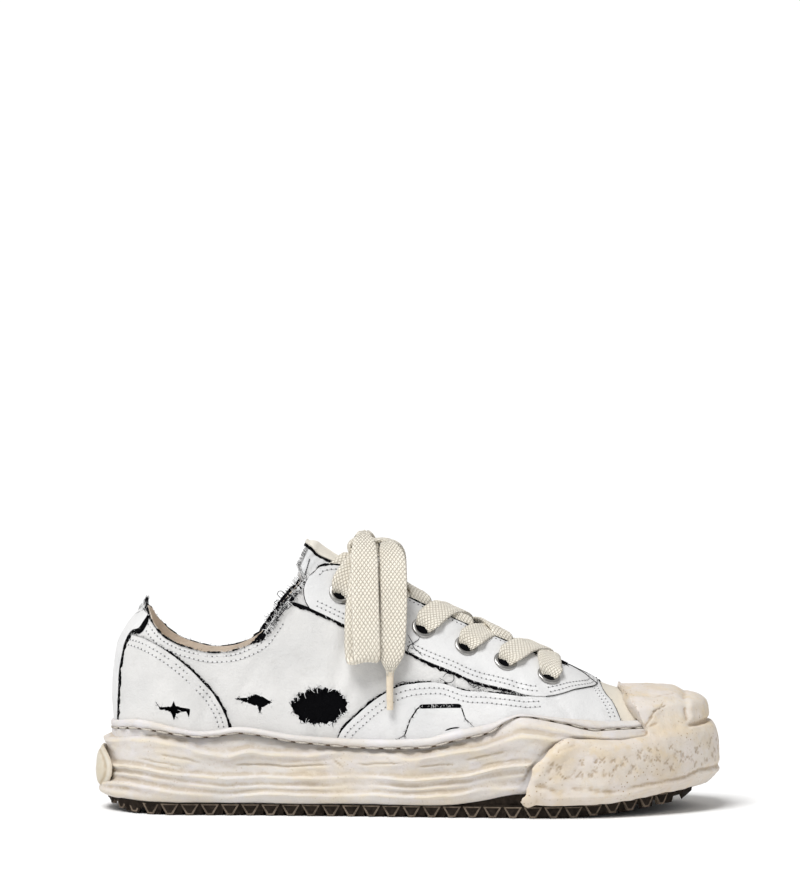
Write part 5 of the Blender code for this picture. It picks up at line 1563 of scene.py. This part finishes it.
def build_patch():
    """The lump of rubber on the back of the wall, thick in its middle and thin at its rim."""
    count = 64
    a, b = np.meshgrid(np.linspace(-1, 1, count), np.linspace(-1, 1, count))
    # The square is drawn into an oval.
    p, q = a * np.sqrt(1 - b * b / 2), b * np.sqrt(1 - a * a / 2)
    far = np.sqrt(p * p + q * q)
    s, side = np.abs(p) * PATCH["reach"], np.where(p > 0, MEDIAL, LATERAL)
    z = PATCH["middle"] + q * PATCH["half_height"]
    x = station_x(s)
    v = np.clip((z - lip_z(x)) / (groove(x) - 0.35 - lip_z(x)), 0, 1)
    base = wall_out(v) * (1 - thinning(x, WALL_THINS)) + 0.8
    points = level(s, side, base, z)
    lump = 3.0 + 0.35 * noise(points, 8, 2) + 0.12 * noise(points, 3, 3)
    lump = lump * np.clip(1 - far**2.6, 0, 1) ** 0.75
    rim = 0.35 * peak(far - 0.8, 0.06)
    outer = level(s, side, base + lump - rim, z)
    inner = level(s, side, base - 1.4 * np.sqrt(np.clip(1 - far**3.2, 0, 1)) - 0.05, z)
    size = count * count
    faces = lattice_faces(count, count)
    order = np.arange(size).reshape(count, count)
    loop = np.concatenate([order[0], order[1:, -1], order[-1, -2::-1], order[-2:0:-1, 0]])
    after = np.roll(loop, -1)
    sides = np.stack([loop, loop + size, after + size, after], axis=-1)
    # Darker in the groove round its rim, partly dirt and partly painted shade, and at its edge against the
    # wall, painted shade.
    grime_and_shade = np.clip(peak(far - 0.8, 0.05) + 0.6 * ease((far - 0.93) / 0.07), 0, 1).ravel()
    make(
        "heel_patch_lump",
        np.concatenate([outer.reshape(-1, 3), inner.reshape(-1, 3)]),
        [faces[:, ::-1], faces + size, sides],
        patch_rubber,
        ["heel_patch"],
        {"grime_and_shade": np.concatenate([grime_and_shade, grime_and_shade])},
        sharp=70,
    )


def build_rim():
    """The outsole's rim above its bars."""
    s, side = around(0, 1, SOLE_COLUMNS)
    x = station_x(s)
    hidden = ease((x - 58) / 4)
    top = (wall_foot(x) + 1.2) * (1 - hidden) + (bumper_foot(x) + BUMPER_LIFT + 2.5) * hidden
    heel_lift = 5.5 * ease((-129 - x) / 14)
    low = np.minimum(tread_z(x) + 2.9 + heel_lift, top - 0.8)
    slim = 1 - thinning(x, WALL_THINS) * (x < 0)
    rows = ((2.7, low), (3.1, low + 0.4), (3.6, top), (1.0, top), (1.0, low))
    grid = np.stack([level(s, side, out * slim, z) for out, z in rows])
    faces = lattice_faces(len(rows), len(s), loop_rows=True, loop_columns=True)
    make("outsole_rim", grid.reshape(-1, 3), [faces], tread)


def build_lugs():
    """The V-shaped lugs along the outsole, each with a darker inset in its face."""
    lugs, insets = Heap(), Heap()
    stations = np.linspace(0, 1, 900)
    ends = np.array([[3, 2, 1, 0], [4, 5, 6, 7]])
    for _, side in SIDES:
        way = lengths(outline(stations, np.full(len(stations), side), 4.0))
        for middle in np.arange(LUG_PITCH / 2, way[-1], LUG_PITCH):
            here = float(station_x(np.interp(middle, way, stations)))
            if here > LAST_LUG_X:
                break
            ground = float(tread_z(here))
            roof = min(lip_z(here), bumper_foot(here) + BUMPER_LIFT + 1 if here > 60 else FAR)
            top = min(float(roof) - 0.6, ground + LUG_TALL)
            slim = 1 - thinning(here, WALL_THINS) * (here < 0)
            for heap, grow, outs in ((lugs, 0.0, LUG_OUT), (insets, -1.15, INSET_OUT)):
                half_top, half_low = LUG_TOP_HALF + grow, max(LUG_LOW_HALF + 0.55 * grow, 0.45)
                high, low = top + grow * 0.5, ground + 0.12 - grow * 0.7
                at = np.interp(middle + np.array((-half_top, half_top, half_low, -half_low)), way, stations)
                z = np.array((high, high, low, low))
                rings = [level(at, np.full(4, side), np.full(4, out * slim), z) for out in outs]
                rings[-1][:, 2] += (0, 0, 0.25, 0.25)
                heap.add(np.stack(rings), lattice_faces(2, 4, loop_columns=True), ends)
    lugs.make("outsole_lugs", lug_tone)
    insets.make("outsole_lug_insets", tread)


def smoothed(points, pairs, rounds, strength=0.5):
    """The points moved towards the mean of their neighbours."""
    count = np.bincount(pairs.ravel(), minlength=len(points))[:, None]
    for _ in range(rounds):
        total = np.zeros_like(points)
        for k in range(3):
            total[:, k] = np.bincount(pairs[:, 0], points[pairs[:, 1], k], len(points))
            total[:, k] += np.bincount(pairs[:, 1], points[pairs[:, 0], k], len(points))
        points = points + strength * (total / count - points)
    return points


def normals_of(points, faces):
    """The mean normal of the faces at each point."""
    first, second = points[faces[:, 2]] - points[faces[:, 0]], points[faces[:, 3]] - points[faces[:, 1]]
    across = np.cross(first, second)
    total = np.zeros_like(points)
    for k in range(3):
        for corner in range(4):
            total[:, k] += np.bincount(faces[:, corner], across[:, k], len(points))
    return unit(total)


def bumper_edge(z):
    """About how far back the bumper starts, at a height."""
    return 53 + 20 * ease((z - 10) / 28)


def soft_bumper():
    """The CAD form of the bumper, swollen and softened: its points in mm, its faces and its edges."""
    rough = bpy.data.objects["toe_bumper"].data.copy()
    work = bpy.data.objects.new("bumper_work", rough)
    bpy.context.scene.collection.objects.link(work)
    work.modifiers.new("joined", "WELD").merge_threshold = 0.01 * MM
    swollen = work.modifiers.new("swell", "DISPLACE")
    swollen.mid_level, swollen.strength = 0, BUMPER_SWELL * MM
    fine = work.modifiers.new("voxels", "REMESH")
    fine.mode, fine.voxel_size = "VOXEL", BUMPER_VOXEL * MM
    found = work.evaluated_get(bpy.context.evaluated_depsgraph_get()).to_mesh()
    points = np.empty(len(found.vertices) * 3)
    found.vertices.foreach_get("co", points)
    points = points.reshape(-1, 3) / MM
    corners = np.empty(len(found.loops), np.int32)
    found.loops.foreach_get("vertex_index", corners)
    faces = corners.reshape(-1, 4)
    pairs = np.empty(len(found.edges) * 2, np.int32)
    found.edges.foreach_get("vertices", pairs)
    pairs = pairs.reshape(-1, 2)
    bpy.data.objects.remove(work, do_unlink=True)
    return smoothed(points, pairs, 9), faces, pairs


def build_bumper():
    """The swollen rubber over the toe: the CAD form, softened, then dented, creased and scratched."""
    points, faces, pairs = soft_bumper()
    at_foot = ease((bumper_foot(points[:, 0]) + 7 - points[:, 2]) / 7) * ease((points[:, 0] - 56) / 6)
    points[:, 2] += BUMPER_LIFT * at_foot
    n = normals_of(points, faces)
    x, y, z = points.T
    rise = lumps(points, BUMPER_LUMPS)
    # The knob in front of the toe, with a fold under it and one behind it.
    flat = points[:, [0, 2]]
    wide = np.exp(-((y / KNOB["half"]) ** 6))
    upright = ease((z - KNOB["low"]) / 2.5) * ease((KNOB["high"] - z) / 5)
    rise += KNOB["out"] * ease((x - KNOB["x"]) / 3) * upright * wide
    rise -= 1.5 * ease((z - 51) / 6) * ease((x - 98) / 6)
    start = ease((bumper_edge(z) + 9 - x) / 8) * ease((np.abs(y) - 38) / 4)
    rise += 0.3 * start - 0.75 * BUMPER_SWELL * (1 - start)
    for line in KNOB_FOLD:
        rise -= trough(flat, *line) * wide
    rise -= 1.2 * peak(x - 135, 4) * peak(z - 58, 4)
    wander = flat + 0.5 * noise(points, 4, 6)[:, None]
    for line in BUMPER_DENTS:
        rise -= trough(wander, *line) * (np.abs(y) > 4)
    # The lip along its lower edge, and the groove over the lip.
    foot = bumper_foot(x) + BUMPER_LIFT
    rise -= peak(z - foot - 5.2, 1.3) * (0.22 * ease((x - 78) / 20) + 0.6 * ease((x - 122) / 16))
    rise += 0.6 * peak(z - foot - 2.6, 1.5) * ease((x - 64) / 20)
    rise -= scratches(points)
    outside = ease((np.abs(n) @ np.array((1.0, 1.0, 0.6)) - 0.2) / 0.3)
    points = points + n * (rise * outside)[:, None]
    low = smoothed(points, pairs, 3)
    # Darker where the rubber is hollow: partly dirt and partly painted shade.
    grime_and_shade = np.clip(((low - points) * normals_of(points, faces)).sum(axis=1) * 8 - 0.15, 0, 1)
    make("toe_bumper_rubber", points, [faces], bumper_rubber, ["toe_bumper"], {"grime_and_shade": grime_and_shade}, sharp=80)


def scratches(points):
    """How deep the crossed marks along the bumper's side and front are."""
    s = np.linspace(station_of(58), 1, 400)
    along, tree = [], KDTree(2 * len(s))
    for _, side in SIDES:
        for at, place in zip(s * side, outline(s, side, 9.5)):
            tree.insert((*place, 0), len(along))
            along.append(at * WAY)
    tree.balance()
    near = np.array(along)[[tree.find((px, py, 0))[1] for px, py in points[:, :2]]]
    flat = np.stack([np.abs(near), points[:, 2]], axis=-1)
    depth = np.zeros(len(points))
    low, high = by(SCRATCH_BAND, "low"), by(SCRATCH_BAND, "high")
    for number, mask in enumerate((near < 0, near >= 0)):
        draw = np.random.default_rng(11 + number)
        here = flat[mask]
        found = np.zeros(len(here))
        at = station_of(SCRATCH_START) * WAY
        while at < WAY:
            x = float(station_x(at / WAY))
            for _ in range(2):
                z = draw.uniform(low(x), high(x))
                middle = np.array((at + draw.uniform(-1.5, 1.5), z))
                for turn in SCRATCH_TURNS:
                    lean = math.radians(turn) + draw.normal(0, 0.18)
                    run = np.array((math.cos(lean), math.sin(lean))) * draw.uniform(1.2, 2.3)
                    close = np.abs(here - middle).max(axis=1) < 5
                    deep = draw.uniform(0.4, 0.85)
                    dug = trough(here[close], middle - run, middle + run, SCRATCH_HALF, deep)
                    found[close] = np.maximum(found[close], dug)
            at += SCRATCH_PITCH
        depth[mask] = found
    return depth


# ---- Laces ----
LACE_STEP = 0.45
BACK_POINTS = 9  # across the lace's underside, which has less relief


def woven(along, across):
    """The braid's height, from 0 to 1, at millimetres along and across the lace."""
    along, across = along * math.pi / WEAVE, across * math.pi / WEAVE_WIDE
    first, second = along + across, along - across
    return np.sqrt(np.abs(np.sin(first) * np.sin(second)))


def lace(heap, path, across, widths, thick, bunch=None, crown=0.0, closed=False):
    """A flat braided lace along path. bunch, from 0 to 1 at each point, gathers it into folds."""
    count = len(path)
    way = lengths(path)
    along = unit(np.gradient(path, axis=0))
    across = unit(across - along * (across * along).sum(axis=1, keepdims=True))
    up = np.cross(along, across)
    bunch = np.zeros(count) if bunch is None else bunch
    front = int(LACE_WIDTH / LACE_STEP) + 1
    share = np.concatenate([np.linspace(-1, 1, front), np.linspace(1, -1, BACK_POINTS + 2)[1:-1]])
    on_front = np.arange(len(share)) < front
    edge = np.sqrt(np.clip(1 - np.abs(share) ** 5, 0, 1))
    flat_across = share * LACE_WIDTH / 2
    relief_here = 0.5 * woven(way[:, None], flat_across) * edge
    half = thick / 2 * (1 + 0.9 * bunch)
    height = np.where(on_front, 1, -1) * edge * half[:, None] * 0.8
    height = height + np.where(on_front, relief_here, -0.4 * relief_here)
    waves = np.cos(share * math.pi * 3.4) * 0.5 + np.cos(share * math.pi * 5.3 + 1) * 0.25
    height = height + bunch[:, None] * waves * 1.0 + np.broadcast_to(crown, count)[:, None] * (1 - share**2)
    maps = np.stack(np.broadcast_arrays(way[:, None], flat_across), axis=-1)
    slack = 0.25 * noise(maps, 7, 2)
    points = (
        path[:, None]
        + across[:, None] * (share * np.asarray(widths)[:, None] / 2)[..., None]
        + up[:, None] * (height + slack)[..., None]
    )
    faces = lattice_faces(count, len(share), loop_rows=closed, loop_columns=True)
    loop = np.arange(len(share))
    ends = [] if closed else [np.stack([loop, loop[::-1] + (count - 1) * len(share)])]
    heap.add(points, faces[:, ::-1], *ends)
    heap.maps = getattr(heap, "maps", []) + [maps.reshape(-1, 2)]


def lace_piece(name, heap, replaces=()):
    return heap.make(name, cotton, replaces=replaces, maps=np.concatenate(heap.maps), sharp=180)


CROSSING_POINTS, CROSSING_HIGH, CROSSING_SAG = 160, 3.4, 0.7
PLUNGE, PLUNGE_REACH = 7.0, 4.6  # how deep a crossing goes into its eyelet, and from how far
PAST_HOLE, BUNCH_REACH = 3.9, 9.0  # it goes in on the hole's far side, and its folds run this far from there
TUCK_DEEP, TUCK_REACH = 2.6, 12.0  # how low its other end lies under the throat's edge, and from how far


def crossing(heap, start, end, above, share=1.0, high=CROSSING_HIGH, tucked=(False, True)):
    """A lace across the throat, from start to end, both (x, q). A tucked end goes under the throat's edge,
    and another goes into an eyelet.

    q is t less 1 on the lateral side and 1 less t on the medial side, and above is how far this lace lies
    over the one that it crosses. With a share under 1 it stops on its way, under the knot.
    """
    u = np.linspace(0, 1, CROSSING_POINTS)
    run = (end[0] - start[0]) ** 2 + ((end[1] - start[1]) * GIRTH) ** 2
    past = PAST_HOLE / math.sqrt(run)
    u = -past + (1 + past * (2 if share == 1 else 1)) * u
    x, q = start[0] + (end[0] - start[0]) * u, start[1] + (end[1] - start[1]) * u
    u = np.clip(u, 0, 1)
    s, side, t = station_of(x), np.where(q < 0, LATERAL, MEDIAL), 1 - np.abs(q)
    flat = body(s, side, t)
    way = lengths(flat)
    near = from_tuck = np.full(len(way), FAR)
    to_end = way[-1] - way if share == 1 else near
    for distance, is_tucked in zip((way, to_end), tucked):
        if is_tucked:
            from_tuck = np.minimum(from_tuck, distance)
        else:
            near = np.minimum(near, distance)
    middle = np.sin(math.pi * share * u) ** 2
    out = high - PLUNGE * (1 - ease(near / PLUNGE_REACH)) ** 2 + 1.3 * peak(near - 7, 3.5)
    out = out - (high + TUCK_DEEP) * (1 - ease(from_tuck / TUCK_REACH))
    out = out + middle * (above - CROSSING_SAG)
    path = over(s, side, t, out)
    across = np.cross(normal(s, side, t), np.gradient(path, axis=0))
    count = int(way[-1] / LACE_STEP)
    line, n = through(path, count), np.linspace(0, CROSSING_POINTS - 1, count)
    each = np.arange(CROSSING_POINTS)
    across = np.stack([np.interp(n, each, across[:, k]) for k in range(3)], axis=-1)
    near = np.interp(n, each, near)
    bunch = 1 - ease(near / BUNCH_REACH)
    widths = LACE_WIDTH * (0.97 - 0.66 * (1 - ease((near - 0.4) / 10)))
    lace(heap, line, -across, widths, LACE_THICK, bunch, crown=0.5 + 1.7 * peak(near - 6, 5))


def build_crossings():
    """Every lace over the throat, in two pieces, by the side that each one starts from at the top."""
    spots = {
        name: [(x, side * (1 - float(t_at_height(x, z)))) for x, z in zip(EYELETS["x"], EYELETS["z"])]
        for name, side in SIDES
    }
    edges = {
        name: [(x, side * (1 - float(edge_t(station_of(x), side)))) for x in EYELETS["x"]]
        for name, side in SIDES
    }
    heaps = {name: Heap() for name, _ in SIDES}
    for name, other, above in (("lateral", "medial", 1.0), ("medial", "lateral", -1.0)):
        for k in range(len(EYELETS["x"]) - 1):
            start, rise = spots[name][k] if k else edges[name][0], above if k % 2 == 0 else -above
            crossing(heaps[name], start, edges[other][k + 1], rise, tucked=(k == 0, True))
    crossing(heaps["lateral"], spots["lateral"][-1], spots["medial"][-1], 0.0, tucked=(False, False))
    for name, side in SIDES:
        crossing(heaps[name], spots[name][0], (-19.5, -side * 0.03), 2.6, 0.5, 3.8, (False, False))
    lace_piece("lace_over_lateral", heaps["lateral"], ["lace_crossings"])
    lace_piece("lace_over_medial", heaps["medial"])


# The bands of the knot: how far forward each lies, its half width and height, and its lean.
KNOT_BANDS = ((0.0, 6.6, 4.6, 0.0), (7.5, 7.4, 3.6, 1.5))
KNOT_WIDE, KNOT_THICK = 10.5, 1.8
BOW_LEAN, END_NARROW = 0.42, 3.4  # how far a narrowed end lies off its line, and its width at the aglet


def build_bow():
    """Two loops, two ends with their aglets, and the band of the knot round them."""
    knot = Heap()
    angle = np.linspace(0, 2 * math.pi, 96)[:-1]
    for shift, wide, tall, lean in KNOT_BANDS:
        ring = np.stack([wide * np.cos(angle), lean * np.cos(angle), tall * np.sin(angle)], axis=-1)
        path = ring + (KNOT_CENTRE[0] + shift, 0, KNOT_CENTRE[2] + 0.4)
        across = np.tile((0.0, 1.0, 0), (len(path), 1))
        bunch = 0.35 + 0.2 * np.cos(2 * angle)
        lace(knot, path, across, np.full(len(path), KNOT_WIDE), KNOT_THICK, bunch, closed=True)
    knot_piece = lace_piece("bow_knot_bands", knot, ["bow_knot"])
    for name, side in SIDES:
        mirror = np.array([1, -side, 1])
        for kind, route, count in (("bow_loop", LOOP_ROUTE, 26), ("lace_end", END_ROUTE, 16)):
            line = through(np.array(route) * mirror, count)
            length = float(lengths(line)[-1])
            path = through(line, int(length / LACE_STEP))
            share = np.linspace(0, 1, len(path))
            across = np.tile((1.0, 0, 0), (len(path), 1))
            ends = np.minimum(share, 1 - share) if kind == "bow_loop" else share * 0.6
            widths = LACE_WIDTH * (0.4 + 0.6 * np.sin(math.pi / 2 * np.minimum(1, ends / 0.2)))
            crown, bunch = 0.9 * peak(ends, 0.12), 0.5 * peak(ends, 0.1)
            if kind == "lace_end":
                path = path - np.stack([BOW_LEAN * (LACE_WIDTH - widths), 0 * share, 0 * share], axis=-1)
                widths = widths - (LACE_WIDTH - END_NARROW) * ease((share - 0.84) / 0.16) ** 1.3
                bunch = bunch + 0.35 * ease((share - 0.85) / 0.15)
            else:
                tip = peak(share - 0.53, 0.05)
                across = across + np.stack([0 * tip, 0.08 * tip, 0.12 * tip], axis=-1)
            heap = Heap()
            lace(heap, path, across * -side, widths, LACE_THICK, bunch, crown)
            piece = lace_piece(f"{kind}_{name}_lace", heap, [f"{kind}_{name}"])
            if kind == "bow_loop":
                far, on = "object", []
            else:
                far, on = "fitting", [aglet(name, line[-1])]
            if kind == "bow_loop" and side == LATERAL:
                on = [knot_piece]
            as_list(on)


def aglet(name, end):
    """The bound tip of a lace: a slim tube, a little crushed and open at its foot."""
    heap = Heap()
    share, angle = np.linspace(0, 1, 25), np.linspace(0, 2 * math.pi, 25)[:-1]
    radius = AGLET_RADIUS * (0.92 - 0.1 * share + 0.06 * peak(share, 0.05))
    z = end[2] + 1.5 - (AGLET_LENGTH + 1.8) * share
    ring = np.stack([np.cos(angle), 0.78 * np.sin(angle)], axis=-1)
    walls = []
    for part in (1.0, 0.72):
        level = end[:2] + ring * (radius * part)[:, None, None]
        level = level + 0.08 * noise(np.stack([z, share], axis=-1) * 3, 4, 5)[:, None, None]
        heights = np.broadcast_to(z[:, None, None], (*level.shape[:2], 1))
        walls.append(np.concatenate([level, heights], axis=-1))
    points = np.concatenate([walls[0], walls[1][::-1]])
    heap.add(points, lattice_faces(50, 24, loop_rows=True, loop_columns=True))
    return heap.make(f"aglet_{name}_tube", resin, replaces=[f"aglet_{name}"])


# ---- Camera, light and floor ----
CAMERA_DISTANCE, CAMERA_DROP = 3.0, 5.0  # metres, and degrees below the level
CAMERA_AIM = (0, 0, 0.060)
CAMERA_LENS, CAMERA_LIFT, CAMERA_TURN = 253.95, 2.1927, 0.0596  # millimetres, and degrees


def build_camera():
    """It looks down a little at the shoe's side, and the shoe stands low in the frame."""
    data = bpy.data.cameras.new("camera")
    data.lens, data.sensor_width, data.sensor_fit = CAMERA_LENS, 36, "AUTO"
    data.clip_start, data.clip_end = 0.1, 60
    camera = bpy.data.objects.new("camera", data)
    drop = math.radians(CAMERA_DROP)
    ahead = Vector((0, math.cos(drop), -math.sin(drop)))
    camera.location = Vector(CAMERA_AIM) - ahead * CAMERA_DISTANCE
    camera.rotation_euler = (
        math.radians(90 - CAMERA_DROP + CAMERA_LIFT),
        0,
        math.radians(CAMERA_TURN),
    )
    bpy.context.scene.collection.objects.link(camera)
    bpy.context.scene.camera = camera


WHITE_BAND = (0.05, 0.16)  # the surround is white up to here, and dims to the second height above
SKY = 0.42
SUN_STRENGTH, SUN_SOFT, SUN_FROM = 2.7, 28.0, (-0.5, -0.7, 1.5)
FLOOR_REACH = 120.0  # metres


def build_studio():
    """A pale floor that runs out into a white surround, and one broad soft light over the shoe."""
    world = bpy.data.worlds.new("studio")
    world.use_nodes = True
    tree = world.node_tree
    height = tree.nodes.new("ShaderNodeSeparateXYZ")
    tree.links.new(tree.nodes.new("ShaderNodeTexCoord").outputs["Generated"], height.inputs[0])
    dims = tree.nodes.new("ShaderNodeMapRange")
    tree.links.new(height.outputs["Z"], dims.inputs["Value"])
    for socket, value in zip(("From Min", "From Max", "To Min", "To Max"), (*WHITE_BAND, 1.06, SKY)):
        dims.inputs[socket].default_value = value
    tree.links.new(dims.outputs[0], tree.nodes["Background"].inputs["Strength"])
    tree.nodes["Background"].inputs["Color"].default_value = (1, 1, 1, 1)
    bpy.context.scene.world = world
    data = bpy.data.lights.new("softbox", "SUN")
    data.energy, data.angle = SUN_STRENGTH, math.radians(SUN_SOFT)
    light = bpy.data.objects.new("softbox", data)
    light.rotation_euler = Vector(SUN_FROM).to_track_quat("Z", "Y").to_euler()
    bpy.context.scene.collection.objects.link(light)
    floor = Look("pale_floor", "", Roughness=0.9, Specular_IOR_Level=0.1)
    floor.colour((0.95, 0.95, 0.95))
    floor.bump((floor.noise(0.004, 3), 0.00002))
    data = bpy.data.meshes.new("floor")
    corners = [(x * FLOOR_REACH, y * FLOOR_REACH, 0) for x, y in ((-1, -1), (1, -1), (1, 1), (-1, 1))]
    data.from_pydata(corners, [], [(0, 1, 2, 3)])
    data.materials.append(floor.material)
    piece = bpy.data.objects.new("floor", data)
    bpy.context.scene.collection.objects.link(piece)
    bpy.context.scene.view_settings.view_transform = "Standard"


build_camera()
build_studio()
build_crossings()
build_bow()
upper_lines = build_leather()
build_wear(upper_lines)
build_eyelets()
build_tongue()
build_tapes()
fray_tongue()
build_wall()
build_bead()
build_patch()
build_rim()
build_lugs()
build_bumper()
dress("insole", sock)
dress("outsole", tread)
